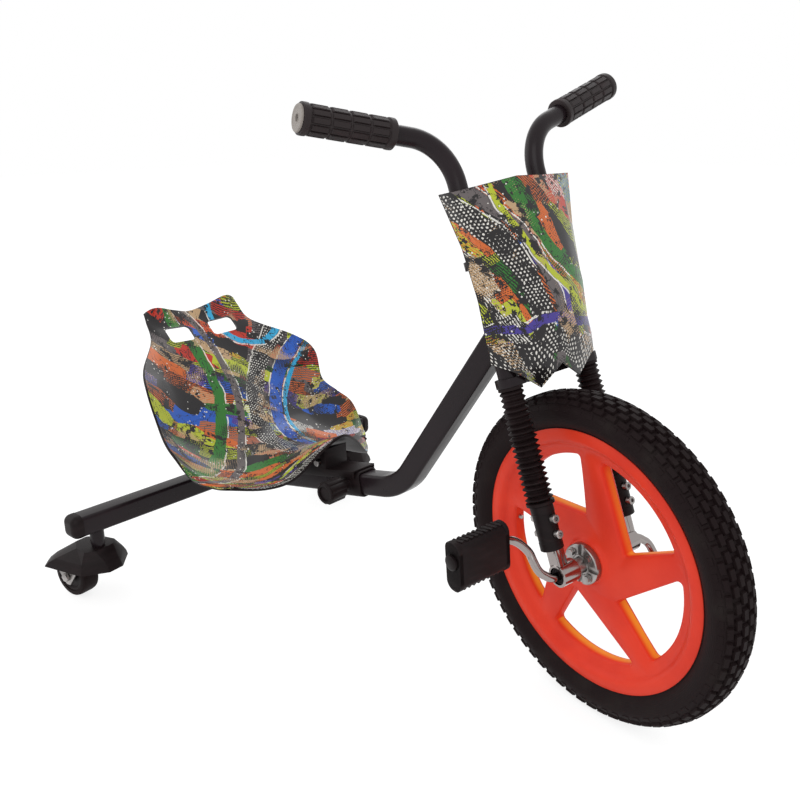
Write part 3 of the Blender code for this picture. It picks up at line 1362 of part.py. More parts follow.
def make_caster_cover(shop, side):
    """A faceted plastic hood, open below, with a hole for the swivel pin."""
    form = bmesh.new()
    rows = []
    for depth, half in cover_rings():
        corners = half + [(x, -y) for x, y in half[::-1]]
        outline = rounded(corners, COVER_CORNER, 1)
        rows.append([form.verts.new((x, y, cover_top() - depth)) for x, y in outline])
    count = len(rows[0])
    form.faces.new(rows[0])
    for upper, lower in zip(rows, rows[1:]):
        for i in range(count):
            j = (i + 1) % count
            form.faces.new((upper[i], lower[i], lower[j], upper[j]))
    bmesh.ops.recalc_face_normals(form, faces=form.faces)
    mesh = bpy.data.meshes.new("cover")
    form.to_mesh(mesh)
    form.free()
    cover = mesh_object(mesh, Matrix.Translation((REAR_X, side * CASTER_Y, 0)))
    step = cover.modifiers.new("thickness", "SOLIDIFY")
    step.thickness = COVER_WALL
    step.offset = -1.0
    step.use_even_offset = True
    hole = bar(around(STEM_PIN_RADIUS, RUNNING_GAP, ROUND), cover_top() - COVER_HOLLOW / 2,
               cover_top() + COVER_HOLLOW / 2, ROUND, Matrix.Translation((REAR_X, side * CASTER_Y, 0)))
    cut(cover, shop.cutter(hole, "cover_hole_" + side_name(side)))
    shop.part(cover, "caster_cover_" + side_name(side), BLACK_PLASTIC)


def make_caster_yoke(shop, side):
    """A folded steel yoke: a top plate on the pin and two plates down to the axle."""
    name = side_name(side)
    half = CASTER_HUB_LENGTH / 2 + RUNNING_GAP + YOKE_PLATE
    top = cover_top() - COVER_WALL - SEAT_GAP
    axle_x = REAR_X - CASTER_TRAIL
    axle_z = CASTER_WHEEL_RADIUS
    tip = axle_z - YOKE_TIP
    tip_x = axle_x + YOKE_TIP_SHIFT
    rear, front = YOKE_BELLY
    outline = rounded([(REAR_X + YOKE_TOP[1], top), (REAR_X + YOKE_TOP[0], top),
                       (axle_x + rear[0], axle_z + rear[1]), (tip_x - YOKE_TIP_HALF, tip),
                       (tip_x + YOKE_TIP_HALF, tip), (axle_x + front[0], axle_z + front[1])],
                      [0.003, 0.003, 0.005, 0.003, 0.003, 0.005], 2)
    place = Matrix.Translation((0, side * CASTER_Y, 0))
    yoke = plate([outline], 2 * half, place @ side_axes())
    gap = box((axle_x - CASTER_TRAIL, -(half - YOKE_PLATE), 0),
              (REAR_X + CASTER_TRAIL, half - YOKE_PLATE, top - YOKE_PLATE), place)
    pin = bar(around(STEM_PIN_RADIUS, RUNNING_GAP, ROUND), top - COVER_HOLLOW, top + COVER_HOLLOW, ROUND,
              place @ Matrix.Translation((REAR_X, 0, 0)))
    axle = bar(CASTER_AXLE_RADIUS + SEAT_GAP, -half * 2, half * 2, ROUND_SMALL,
               axle_axes(Vector((axle_x, side * CASTER_Y, axle_z))))
    cut(yoke, shop.cutter(gap, "yoke_gap_" + name))
    cut(yoke, shop.cutter(pin, "yoke_pin_hole_" + name))
    cut(yoke, shop.cutter(axle, "yoke_axle_hole_" + name))
    shop.part(yoke, "caster_yoke_" + name, ZINC)


def caster_axle_axes(side):
    return axle_axes(Vector((REAR_X - CASTER_TRAIL, side * CASTER_Y, CASTER_WHEEL_RADIUS)))


def make_caster_axle(shop, side):
    seat = CASTER_HUB_LENGTH / 2 + RUNNING_GAP + YOKE_PLATE + SEAT_GAP
    outer = seat + CASTER_NUT_HEIGHT
    place = caster_axle_axes(side)
    shaft = bar(CASTER_AXLE_RADIUS, -outer - 0.002, outer + 0.001, ROUND_SMALL, place)
    for end in (-1, 1):
        middle = end * (seat + outer) / 2
        nut_place = place @ Matrix.Translation((0, 0, middle))
        nut = plate([circle(CASTER_NUT_RADIUS, 6)], CASTER_NUT_HEIGHT, nut_place)
        label = side_name(side) + ("_nut" if end > 0 else "_head")
        cut(shaft, shop.cutter(nut, "caster_axle_" + label), "UNION")
    shop.part(shaft, "caster_axle_" + side_name(side), ZINC)


def make_caster_wheel(shop, side):
    name = side_name(side)
    place = caster_axle_axes(side)
    half = CASTER_WHEEL_WIDTH / 2
    core = CASTER_WHEEL_RADIUS - CASTER_TREAD
    profile = [(CASTER_WHEEL_RADIUS - 0.003, half), (CASTER_WHEEL_RADIUS, half - 0.004),
               (CASTER_WHEEL_RADIUS, -half + 0.004), (CASTER_WHEEL_RADIUS - 0.003, -half),
               (core + SEAT_GAP, -half), (core + SEAT_GAP, half)]
    shop.part(turned(profile, place, CASTER_SIDES, True), "caster_tread_" + name, BLACK_RUBBER)
    bore = around(CASTER_AXLE_RADIUS, RUNNING_GAP, CASTER_SIDES)
    boss = CASTER_HUB_LENGTH / 2
    upper = [(bore, boss), (bore + 0.004, boss), (bore + 0.004, half - 0.003), (core, half - 0.003)]
    hub = upper + [(r, -w) for r, w in upper[::-1]]
    shop.part(turned(hub, place, CASTER_SIDES, True), "caster_hub_" + name, BLACK_PLASTIC)


def make_frame(shop):
    make_main_beam(shop)
    make_rear_cross_tube(shop)
    make_head_tube(shop)
    make_headset_cups(shop)
    for side in (-1, 1):
        make_end_cap(shop, side)
        make_caster_stem(shop, side)


def make_steering(shop):
    make_crowns(shop)
    make_steerer(shop)
    for side in (-1, 1):
        make_fork_tube(shop, side)
        make_leg_sleeve(shop, side)
        make_gaiter(shop, side)
        make_leg_bolts(shop, side)
        make_fork_end(shop, side)
        make_bearing_housing(shop, side)
        make_grip(shop, side)
        make_grip_plug(shop, side)
    make_fairing(shop)
    make_fairing_bracket(shop)


def make_front_wheel(shop):
    make_tyre(shop)
    make_rim(shop)
    make_spokes(shop)
    make_valve(shop)
    make_crank(shop)
    for side in (-1, 1):
        make_hub_flange(shop, side)


def make_casters(shop, root):
    swivels = []
    for side in (-1, 1):
        name = side_name(side)
        place = Vector((REAR_X, side * CASTER_Y, 0))
        swivel = shop.pivot_at("caster_swivel_" + name, place, None, root)
        swivels.append((swivel, side))
        shop.pivot = swivel
        make_caster_cover(shop, side)
        make_caster_yoke(shop, side)
        make_caster_axle(shop, side)
        shop.pivot = shop.pivot_at("caster_roll_" + name, caster_axle_axes(side).translation, LEFT, swivel)
        make_caster_wheel(shop, side)
    for swivel, side in swivels:
        swivel.matrix_basis = swivel.matrix_basis @ Matrix.Rotation(side * CASTER_REST, 4, "Z")


def centre_footprint(root):
    """Moves everything so that the middle of the lowest plane of its box is the origin."""
    bpy.context.view_layer.update()
    graph = bpy.context.evaluated_depsgraph_get()
    low = Vector((10, 10, 10))
    high = Vector((-10, -10, -10))
    for thing in bpy.data.collections["tricycle"].objects:
        if thing.type != "MESH":
            continue
        seen = thing.evaluated_get(graph)
        for vert in seen.data.vertices:
            place = thing.matrix_world @ vert.co
            low = Vector(map(min, low, place))
            high = Vector(map(max, high, place))
    root.location = root.location - Vector(((low.x + high.x) / 2, (low.y + high.y) / 2, low.z))
    bpy.context.view_layer.update()


def main():
    clear_scene()
    shop = Workshop()
    root = shop.pivot_at("tricycle_root", Vector((0, 0, 0)))
    shop.pivot = root
    make_frame(shop)
    steering = shop.pivot_at("steering_axis", STEER_FOOT, UP_FORK, root)
    shop.pivot = steering
    make_steering(shop)
    wheel = shop.pivot_at("front_axle", AXLE, LEFT, steering)
    shop.pivot = wheel
    make_front_wheel(shop)
    for side in (-1, 1):
        place = pedal_centre(side) + LEFT * (side * (PEDAL_INNER + PEDAL_LENGTH / 2))
        shop.pivot = shop.pivot_at("pedal_spindle_" + side_name(side), place, LEFT, wheel)
        make_pedal(shop, side)
    seat = shop.pivot_at("seat_slide", slider_axes().translation, BEAM_WAY, root)
    shop.pivot = seat
    make_seat_shell(shop)
    make_slider(shop)
    make_seat_bracket(shop)
    make_bracket_bolt(shop)
    shop.pivot = shop.pivot_at("knob_screw_axis", slider_axes().translation, LEFT, seat)
    make_clamp_knob(shop)
    make_casters(shop, root)
    steering.matrix_basis = steering.matrix_basis @ Matrix.Rotation(STEER_REST, 4, "Z")
    centre_footprint(root)


main()
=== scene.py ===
"""Dresses a child's pedal drift tricycle: finer pieces over its solids, finishes and a stage.

Lengths are metres. X points forward, Y to the rider's left, Z up. Pieces of the front end are
drawn with the wheel straight ahead and are then turned to the steering's rest angle.
"""
from math import cos, pi, radians, sin, tan

import bmesh
import bpy
from bpy.props import FloatProperty, FloatVectorProperty, IntProperty, PointerProperty
from mathutils import Matrix, Vector


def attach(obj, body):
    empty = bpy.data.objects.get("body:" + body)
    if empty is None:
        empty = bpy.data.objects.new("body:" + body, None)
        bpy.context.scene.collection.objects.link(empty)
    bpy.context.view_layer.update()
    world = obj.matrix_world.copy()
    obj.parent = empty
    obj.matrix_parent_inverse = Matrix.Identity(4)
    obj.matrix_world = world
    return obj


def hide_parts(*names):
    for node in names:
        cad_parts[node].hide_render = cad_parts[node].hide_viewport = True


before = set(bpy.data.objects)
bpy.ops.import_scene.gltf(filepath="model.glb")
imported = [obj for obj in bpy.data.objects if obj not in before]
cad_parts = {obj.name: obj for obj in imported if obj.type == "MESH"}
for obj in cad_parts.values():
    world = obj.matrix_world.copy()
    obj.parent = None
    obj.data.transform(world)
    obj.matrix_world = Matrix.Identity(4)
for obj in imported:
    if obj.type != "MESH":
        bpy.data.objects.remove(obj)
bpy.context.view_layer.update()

bl_info = {
    "name": "Pedal drift tricycle",
    "version": (1, 0, 0),
    "blender": (4, 5, 0),
    "location": "View3D > Sidebar > Tricycle",
    "description": "Builds the finer pieces, finishes and stage of a pedal drift tricycle",
    "category": "Object",
}

# Where the drawn pieces stand
ROOT = Vector((0.295948, 0, 0.000342))
RAKE = radians(19.3)
STEER_REST = radians(-12.9)
FORK_OFFSET = 0.030
LEG_Y = 0.060
AXLE = Vector((0, 0, 0.203))
AHEAD = Vector((1, 0, 0))
LEFT = Vector((0, 1, 0))
UP = Vector((0, 0, 1))
UP_FORK = Vector((-sin(RAKE), 0, cos(RAKE)))
AHEAD_FORK = Vector((cos(RAKE), 0, sin(RAKE)))
STEER_FOOT = AXLE - AHEAD_FORK * FORK_OFFSET

# Frame
BEAM_HALF = 0.0155
BEAM_EDGE = 0.0045
BEAM_BEND_RADIUS = 0.080
REAR_X = -0.6877
REAR_Z = 0.138
BEAM_SLOPE = radians(10.4)
BEAM_BEND_X = -0.308
BEAM_RISE = radians(56)
BEAM_WAY = Vector((cos(BEAM_SLOPE), 0, sin(BEAM_SLOPE)))
BEAM_UP = Vector((-sin(BEAM_SLOPE), 0, cos(BEAM_SLOPE)))
REAR_HALF_LENGTH = 0.3085
END_CAP_LENGTH = 0.017
END_CAP_EDGE = 0.0115
END_CAP_DOME = 0.0110
HEAD_RADIUS = 0.0170

# Seat clamp
SLIDER_X = -0.403
SLIDER_OUTER = 0.0189
BRACKET_BOLT_X = -0.458
BRACKET_BOLT_LIFT = 0.032
KNOB_FLUTES = 8
KNOB_ROOT_RADIUS = 0.0151
KNOB_FLUTE_DEPTH = 0.0019
KNOB_LENGTH = 0.033

# Stations along the fork, counted from the axle
LEG_START = 0.032
SLEEVE_END = 0.085
GAITER_START = 0.0853
GAITER_END = 0.2228
HEAD_START = 0.2413
HEAD_END = 0.3513
LEG_RADIUS = 0.011
LEG_BOLTS = (LEG_START + 0.018, LEG_START + 0.036)
BAR_CORNER = 0.500

# Handlebar and grips
BAR_BEND_RADIUS = 0.060
BAR_REACH = (-0.028, 0.166, 0.0415)
GRIP_LENGTH = 0.106
GRIP_BANDS = 4
GRIP_BAND_START = 0.0195
GRIP_BAND_PITCH = 0.0223

# Casters
CASTER_Y = 0.265
CASTER_TRAIL = 0.060
CASTER_REST = radians(-9)
CASTER_RADIUS = 0.034
STEM_TOP = 0.1222
COVER_TOP = 0.0953
CASTER_PIN_SEAT = 0.0192
CASTER_CORE_RADIUS = 0.025
CASTER_TREAD_HALF = 0.014

# Front wheel, hub, cranks and pedals
WINDOW_START = radians(25.84)
WINDOW_END = radians(85.12)
WINDOW_INNER = 0.0554
WINDOW_OUTER = 0.1293
# The rounded edge of a window: how far from it, and how far off the wheel's middle plane
WINDOW_EDGE = [(0.0, 0.0058), (0.0007, 0.0076), (0.0020, 0.0087), (0.0042, 0.0094)]
RIDGE_START = radians(50.3)
RIDGE_END = radians(92.2)
RIDGE_INNER = 0.0330
RIDGE_OUTER = 0.1418
RIM_TOP = 0.0118
SPOKE_TOP = 0.0113
HUB_TOP = 0.0125
CRANK_ANGLE = radians(123.8)
CRANK_LENGTH = 0.063
PEDAL_INNER = 0.113
PEDAL_LENGTH = 0.072
PEDAL_HEIGHT = 0.060
PEDAL_THICKNESS = 0.024
PEDAL_DROP = 0.006
PEDAL_LEFT_TURN = radians(-72)
CRANK_ROD_RADIUS = 0.005
CRANK_ROD_PAST_PEDAL = 0.0015
# Shares of the crank's length, and how far out the rod stands there
CRANK_SLOPE = [(0.0, 0.0640), (0.008, 0.0695), (0.052, 0.0749), (0.12, 0.0795), (0.18, 0.0829),
               (0.28, 0.0852), (0.44, 0.0860), (0.60, 0.0866), (0.78, 0.0925), (0.896, 0.0994),
               (0.956, 0.1064), (1.0, 0.1128)]
HUB_FACE = 0.0259
HUB_BOLT_CIRCLE = 0.0175
VALVE_START = 0.125
VALVE_ANGLE = radians(178)

# Shells and floor
FAIRING_THICKNESS = 0.0025
SEAT_THICKNESS = 0.004
SLOT_HEIGHT = 0.364
SLOT_Y = 0.0425
SLOT_HALF_LENGTH = 0.0240
SLOT_HALF_WIDTH = 0.0150
FLOOR_HALF = 12.0

# Camera, as fitted to the photograph
VIEW = Matrix(((0.743926, -0.188648, 0.641242, 0.763386),
               (0.66808, 0.23232, -0.706748, -0.8606),
               (-0.015583, 0.954169, 0.298858, 0.696861),
               (0.0, 0.0, 0.0, 1.0)))
LENS = 40.28


def about(place, axis, angle):
    return Matrix.Translation(place) @ Matrix.Rotation(angle, 4, axis) @ Matrix.Translation(-place)


def axes_at(place, x_way, z_way):
    """A matrix at a place with the given local X and Z directions."""
    z_way = z_way.normalized()
    x_way = x_way.normalized()
    turn = Matrix((x_way, z_way.cross(x_way), z_way)).transposed()
    return Matrix.Translation(place) @ turn.to_4x4()


FRAME = Matrix.Translation(ROOT)
FRONT = FRAME @ about(STEER_FOOT, UP_FORK, STEER_REST)


def caster_place(side):
    return FRAME @ about(Vector((REAR_X, side * CASTER_Y, 0)), UP, side * CASTER_REST)


def side_name(side):
    return "left" if side > 0 else "right"


def bar_corner(side):
    """Where a leg bends into its half of the handlebar."""
    return STEER_FOOT + AHEAD_FORK * FORK_OFFSET + UP_FORK * BAR_CORNER + LEFT * (side * LEG_Y)


def bar_reach(side):
    """From that bend to the outer end of the half."""
    return Vector((BAR_REACH[0], side * BAR_REACH[1], BAR_REACH[2]))


def fork_axes(side=0.0, ahead=0.0):
    """Local Z up along the fork, counted from the axle, local X forward."""
    return FRONT @ axes_at(STEER_FOOT + AHEAD_FORK * ahead + LEFT * side, AHEAD_FORK, UP_FORK)


def leg_axes(side):
    return fork_axes(side * LEG_Y, FORK_OFFSET)


def axle_axes(place=AXLE):
    """Local Z to the rider's left, local X forward."""
    return FRONT @ axes_at(place, Vector((1, 0, 0)), LEFT)


def mirrored(side):
    """Turns the local Z of an axis to the outside of one side."""
    return Matrix.Diagonal((1, side, side, 1))


class Num:
    """A number socket that takes part in Python sums, each of which adds its Math nodes."""

    def __init__(self, net, socket):
        self.net = net
        self.socket = socket

    def __add__(self, other):
        return self.net.math("ADD", self, other)

    __radd__ = __add__

    def __sub__(self, other):
        return self.net.math("SUBTRACT", self, other)

    def __rsub__(self, other):
        return self.net.math("SUBTRACT", other, self)

    def __mul__(self, other):
        return self.net.math("MULTIPLY", self, other)

    __rmul__ = __mul__

    def __truediv__(self, other):
        return self.net.math("DIVIDE", self, other)

    def __rtruediv__(self, other):
        return self.net.math("DIVIDE", other, self)

    def __lt__(self, other):
        return self.net.math("LESS_THAN", self, other)

    def __gt__(self, other):
        return self.net.math("GREATER_THAN", self, other)

    def __abs__(self):
        return self.net.math("ABSOLUTE", self)


class Net:
    """Adds nodes to one tree, shader or geometry, and links them."""

    def __init__(self, tree):
        self.tree = tree

    def node(self, kind, settings=None, values=None):
        made = self.tree.nodes.new(kind)
        for key, value in (settings or {}).items():
            setattr(made, key, value)
        for key, value in (values or {}).items():
            self.put(made.inputs[key], value)
        return made

    def put(self, socket, value):
        if isinstance(value, Num):
            self.tree.links.new(value.socket, socket)
        else:
            socket.default_value = value

    def out(self, node, key=0):
        return Num(self, node.outputs[key])

    def math(self, operation, first, second=None):
        values = {0: first}
        if second is not None:
            values[1] = second
        return self.out(self.node("ShaderNodeMath", {"operation": operation}, values))

    def most(self, first, second):
        return self.math("MAXIMUM", first, second)

    def sine(self, angle):
        return self.math("SINE", angle)

    def fraction(self, value):
        return self.math("FRACT", value)

    def ease(self, value, low, high):
        """From 0 at low to 1 at high, with soft ends."""
        made = self.node("ShaderNodeMapRange", {"interpolation_type": "SMOOTHSTEP"},
                         {"Value": value, "From Min": low, "From Max": high})
        return self.out(made)

    def vector(self, x, y, z=0.0):
        return self.out(self.node("ShaderNodeCombineXYZ", None, {0: x, 1: y, 2: z}))

    def split(self, vector):
        made = self.node("ShaderNodeSeparateXYZ", None, {0: vector})
        return [self.out(made, i) for i in range(3)]


class Finish(Net):
    """One material with its shader and the object's own coordinates."""

    def __init__(self, name, shine=0.3, metallic=0.0, coat=0.0):
        self.material = bpy.data.materials.new(name)
        self.material.use_nodes = True
        super().__init__(self.material.node_tree)
        self.shader = self.tree.nodes["Principled BSDF"]
        self.shader.inputs["Specular IOR Level"].default_value = shine
        self.shader.inputs["Metallic"].default_value = metallic
        self.shader.inputs["Coat Weight"].default_value = coat
        self.shader.inputs["Coat Roughness"].default_value = 0.12
        self.place = self.out(self.node("ShaderNodeTexCoord"), "Object")

    def noise(self, scale, detail=3.0, where=None, roughness=0.5, distortion=0.0):
        made = self.node("ShaderNodeTexNoise", None,
                         {"Vector": where or self.place, "Scale": scale, "Detail": detail,
                          "Roughness": roughness, "Distortion": distortion})
        return self.out(made, "Fac")

    def cells(self, scale, where=None):
        """How far a place is from the middle of its cell."""
        made = self.node("ShaderNodeTexVoronoi", {"feature": "F1", "distance": "EUCLIDEAN"},
                         {"Vector": where or self.place, "Scale": scale})
        return self.out(made, "Distance")

    def stretched(self, scale):
        made = self.node("ShaderNodeMapping", None, {"Vector": self.place, "Scale": scale})
        return self.out(made)

    def from_axle(self):
        """How far a place is from the front axle's middle, along X, Y and Z."""
        hub = FRONT @ AXLE
        x, y, z = self.split(self.place)
        return x - hub.x, y - hub.y, z - hub.z

    def blend(self, factor, first, second):
        """A colour between two others."""
        made = self.node("ShaderNodeMix", {"data_type": "RGBA"}, {0: factor, 6: first, 7: second})
        return self.out(made, 2)

    def steps(self, factor, stops):
        """One colour after another, without a blend between them."""
        made = self.node("ShaderNodeValToRGB", None, {0: factor})
        made.color_ramp.interpolation = "CONSTANT"
        while len(made.color_ramp.elements) < len(stops):
            made.color_ramp.elements.new(0.5)
        for element, (place, color) in zip(made.color_ramp.elements, stops):
            element.position = place
            element.color = color
        return self.out(made)

    def color(self, value):
        self.put(self.shader.inputs["Base Color"], value)

    def roughness(self, value):
        self.put(self.shader.inputs["Roughness"], value)

    def bump(self, height, distance, strength=1.0):
        made = self.node("ShaderNodeBump", None,
                         {"Height": height, "Distance": distance, "Strength": strength})
        self.put(self.shader.inputs["Normal"], self.out(made))


def rgb(color, scale=1.0):
    return (color[0] * scale, color[1] * scale, color[2] * scale, 1.0)


def make_paint(name, looks):
    """Glossy black powder coat with a faint orange peel and a little dust."""
    made = Finish(name, 0.17, coat=0.03)
    base = looks.paint_color
    wave = made.noise(260.0, 2.0)
    dust = made.ease(made.noise(9.0, 5.0), 0.45, 0.75)
    made.color(made.blend(dust * 0.6, rgb(base), rgb(base, 1.7)))
    made.roughness(looks.paint_roughness + dust * 0.12 + made.noise(60.0) * 0.06)
    made.bump(wave, 0.00012, 0.5)
    return made.material


def make_rubber(name, looks, shine=0.1, pale=1.0):
    """Soft black rubber: fine grain, greyer where it has been handled."""
    made = Finish(name, shine)
    grain = made.noise(900.0, 3.0)
    worn = made.ease(made.noise(45.0, 4.0), 0.45, 0.8)
    made.color(made.blend(worn, rgb(looks.rubber_color, pale), rgb(looks.rubber_color, pale * 1.7)))
    made.roughness(0.42 + worn * 0.18 + grain * 0.08)
    made.bump(grain + worn * 0.4, 0.00015, 0.6)
    return made.material


def make_tyre_rubber(name, looks):
    """Tyre rubber with moulded rings on the wall, grain and dusty patches."""
    made = Finish(name, 0.07)
    x, y, z = made.from_axle()
    far = made.math("SQRT", x * x + y * y + z * z)
    rings = made.sine(far * 3000.0) * (far < 0.186) * (far > 0.170)
    grain = made.noise(700.0, 3.0)
    dust = made.ease(made.noise(28.0, 6.0), 0.48, 0.8)
    made.color(made.blend(dust, rgb(looks.rubber_color), rgb((0.022, 0.017, 0.016))))
    made.roughness(0.52 + dust * 0.25 + grain * 0.06)
    made.bump(rings * 0.5 + grain, 0.00018, 0.7)
    return made.material


def make_plastic(name, looks):
    """Black moulded plastic with a fine spark texture and faint flow marks."""
    made = Finish(name, 0.12)
    stipple = made.cells(1500.0)
    flow = made.noise(30.0, 4.0, made.stretched((1.0, 1.0, 4.0)))
    base = looks.plastic_color
    made.color(made.blend(made.ease(flow, 0.4, 0.8), rgb(base), rgb(base, 1.8)))
    made.roughness(0.36 + flow * 0.14 + stipple * 0.05)
    made.bump(stipple, 0.00008, 0.6)
    return made.material


def make_chrome(name, looks):
    made = Finish(name, metallic=1.0)
    haze = made.noise(70.0, 5.0)
    spots = made.ease(made.cells(420.0), 0.0, 0.14)
    made.color(made.blend(spots, rgb((0.35, 0.31, 0.27)), rgb(looks.chrome_color)))
    made.roughness(0.08 + haze * 0.16)
    made.bump(haze, 0.00005, 0.3)
    return made.material


def make_zinc(name, looks):
    """Bright zinc plate on rolled steel: brush lines and duller clouds."""
    made = Finish(name, metallic=1.0)
    lines = made.noise(120.0, 3.0, made.stretched((9.0, 1.0, 1.0)))
    cloud = made.ease(made.noise(60.0, 4.0), 0.35, 0.75)
    made.color(made.blend(cloud, rgb(looks.zinc_color), rgb(looks.zinc_color, 0.62)))
    made.roughness(0.2 + lines * 0.18 + cloud * 0.14)
    made.bump(lines, 0.00006, 0.5)
    return made.material


def make_red(name, looks):
    """Moulded orange-red plastic, a little uneven, with clouds of a deeper colour all over."""
    made = Finish(name, 0.22)
    cloud = made.noise(14.0, 4.0)
    fine = made.noise(420.0, 3.0)
    made.color(made.blend(made.ease(cloud, 0.35, 0.7), rgb(looks.wheel_color), rgb(looks.wheel_shade)))
    made.roughness(0.3 + cloud * 0.16 + fine * 0.05)
    made.bump(fine, 0.00008, 0.5)
    return made.material


def make_red_edge(name, looks):
    """The thin walls of the windows, red, with painted light: the walls that face up are painted a
    brighter orange-yellow, as if lit from above.
    """
    made = Finish(name, 0.03)
    cloud = made.noise(30.0, 3.0)
    axis = FRONT.to_3x3() @ LEFT
    x, y, z = made.from_axle()
    depth = x * axis.x + y * axis.y + z * axis.z
    # Painted light: the more a wall faces up, the more of the bright orange-yellow it gets
    upward = made.split(made.out(made.node("ShaderNodeNewGeometry"), "Normal"))[2]
    lit = made.ease(upward, 0.1, 0.6) * made.ease(depth, -0.006, 0.003)
    made.color(made.blend(lit * (1.0 - cloud * 0.3), rgb(looks.wheel_color), rgb(looks.painted_wall_light_color)))
    made.roughness(0.34 + cloud * 0.12)
    made.bump(made.noise(420.0), 0.00008, 0.4)
    return made.material


def make_grey(name, looks):
    made = Finish(name, 0.3)
    fleck = made.noise(500.0, 4.0)
    made.color(made.blend(fleck, (0.24, 0.21, 0.19, 1), (0.36, 0.33, 0.30, 1)))
    made.roughness(0.4 + fleck * 0.15)
    made.bump(fleck, 0.0001, 0.5)
    return made.material


def dots(made, u, v, pitch, radius):
    """A mask of round dots on a square grid, each row shifted by half."""
    row = v / pitch
    line = made.math("FLOOR", row)
    across = made.fraction(u / pitch + made.fraction(line * 0.5)) - 0.5
    along = made.fraction(row) - 0.5
    return made.math("SQRT", across * across + along * along) < radius


def ring_band(made, u, v, centre, radius, width):
    """A mask of one curved band about a centre."""
    across = u - centre[0]
    along = v - centre[1]
    far = made.math("SQRT", across * across + along * along)
    return abs(far - radius) < width


# Colours of the print's patches in equal shares, and of its strokes, each from its own share on
PATCHES = ["ink", "orange", "ink", "lime", "grey", "blue", "red", "ink", "green", "orange", "ink",
           "sand", "violet", "ink", "red", "lime"]
STROKES = [(0.0, "ink"), (0.40, "orange"), (0.52, "ink"), (0.66, "lime"), (0.74, "ink"),
           (0.88, "paper"), (0.93, "ink")]


def make_print(name, looks, seed, bands):
    """Glossy film print: colour patches, brush strokes, curved bands, dot screens and splashes."""
    made = Finish(name, 0.3, coat=0.22)
    where = made.out(made.node("ShaderNodeUVMap", {"uv_map": "print"}))
    flat_u, flat_v = made.split(where)[:2]
    shake_u = made.noise(14.0, 5.0, where) - 0.5
    shake_v = made.noise(16.0, 5.0, made.vector(flat_v, flat_u, 3.0)) - 0.5
    u = flat_u + shake_u * 0.020
    v = flat_v + shake_v * 0.020
    turn = radians(38 + seed * 25)
    along = u * cos(turn) + v * sin(turn)
    across = v * cos(turn) - u * sin(turn)
    patch = made.node("ShaderNodeTexVoronoi", {"feature": "F1", "distance": "CHEBYCHEV"},
                      {"Vector": made.vector(along * 0.75, across * 2.3, seed),
                       "Scale": looks.patch_density, "Randomness": 1.0})
    pick, kind, third = made.split(made.out(patch, "Color"))
    colors = [(i / len(PATCHES), rgb(getattr(looks, color))) for i, color in enumerate(PATCHES)]
    painted = made.steps(pick, colors)
    ragged = made.noise(120.0, 4.0, made.vector(along * 2.0, across, seed), 0.7)
    hatch = made.sine(across * 1900.0 + along * 320.0 + ragged * 7.0) * 0.5 + ragged
    strokes = made.ease(hatch, 0.50, 0.56) * (kind > 0.30)
    strokes_color = made.steps(kind, [(share, rgb(getattr(looks, color))) for share, color in STROKES])
    painted = made.blend(strokes, painted, strokes_color)
    for centre, radius, width, color in bands:
        mask = ring_band(made, u, v, centre, radius, width)
        painted = made.blend(mask, painted, rgb(getattr(looks, color)))
        edge = ring_band(made, u, v, centre, radius + width + 0.0016, 0.0010)
        painted = made.blend(edge * (third > 0.4), painted, rgb(looks.paper))
        if color == "ink":
            screen = dots(made, along, across, looks.dot_pitch, 0.27) * mask
            painted = made.blend(screen, painted, rgb(looks.paper))
    scribble = made.noise(52.0, 2.0, made.vector(u * 1.6, v, seed + 2.0), 0.5, 0.8)
    line = (abs(scribble - 0.5) < 0.016) * (made.noise(16.0, 1.0, made.vector(v, u, seed + 4.0)) > 0.46)
    painted = made.blend(line, painted, rgb(looks.ink))
    fade = made.noise(19.0, 3.0, made.vector(u, v, seed + 7.0))
    size = made.ease(fade, 0.42, 0.64) * 0.48
    screen = dots(made, across, along, looks.dot_pitch * 0.62, size)
    painted = made.blend(screen, painted, made.blend(pick > 0.62, rgb(looks.ink), rgb(looks.sand)))
    patchy = made.ease(made.noise(60.0, 5.0, made.vector(v, u, seed + 9.0), 0.7), 0.53, 0.56)
    painted = made.blend(patchy * (third < 0.5 + seed * 0.25), painted, rgb(looks.ink))
    drops = made.cells(150.0, where=made.vector(flat_u, flat_v, seed * 3.0)) < 0.17
    thin = made.noise(21.0, 2.0, where) > 0.52
    painted = made.blend(drops * thin, painted, rgb(looks.paper))
    made.color(painted)
    made.roughness(0.18 + made.noise(40.0, 4.0) * 0.14)
    made.bump(made.noise(180.0, 2.0), 0.00006, 0.4)
    return made.material


# Each curved band: its centre, radius, half width and colour
SEAT_BANDS = [
    ((0.24, 0.30), 0.245, 0.015, "ink"),
    ((0.24, 0.30), 0.206, 0.012, "blue"),
    ((0.24, 0.30), 0.186, 0.004, "cyan"),
    ((-0.26, 0.10), 0.230, 0.009, "green"),
    ((-0.26, 0.10), 0.262, 0.006, "grey"),
    ((-0.10, 0.62), 0.190, 0.014, "ink"),
    ((-0.10, 0.62), 0.226, 0.005, "lime"),
    ((0.10, 0.02), 0.070, 0.005, "cyan"),
]

FAIRING_BANDS = [
    ((-0.20, 0.16), 0.205, 0.008, "grey"),
    ((-0.20, 0.16), 0.178, 0.014, "ink"),
    ((0.20, -0.03), 0.215, 0.008, "green"),
    ((0.20, -0.03), 0.240, 0.004, "lime"),
    ((-0.02, 0.34), 0.150, 0.013, "ink"),
    ((-0.02, 0.34), 0.178, 0.005, "violet"),
]

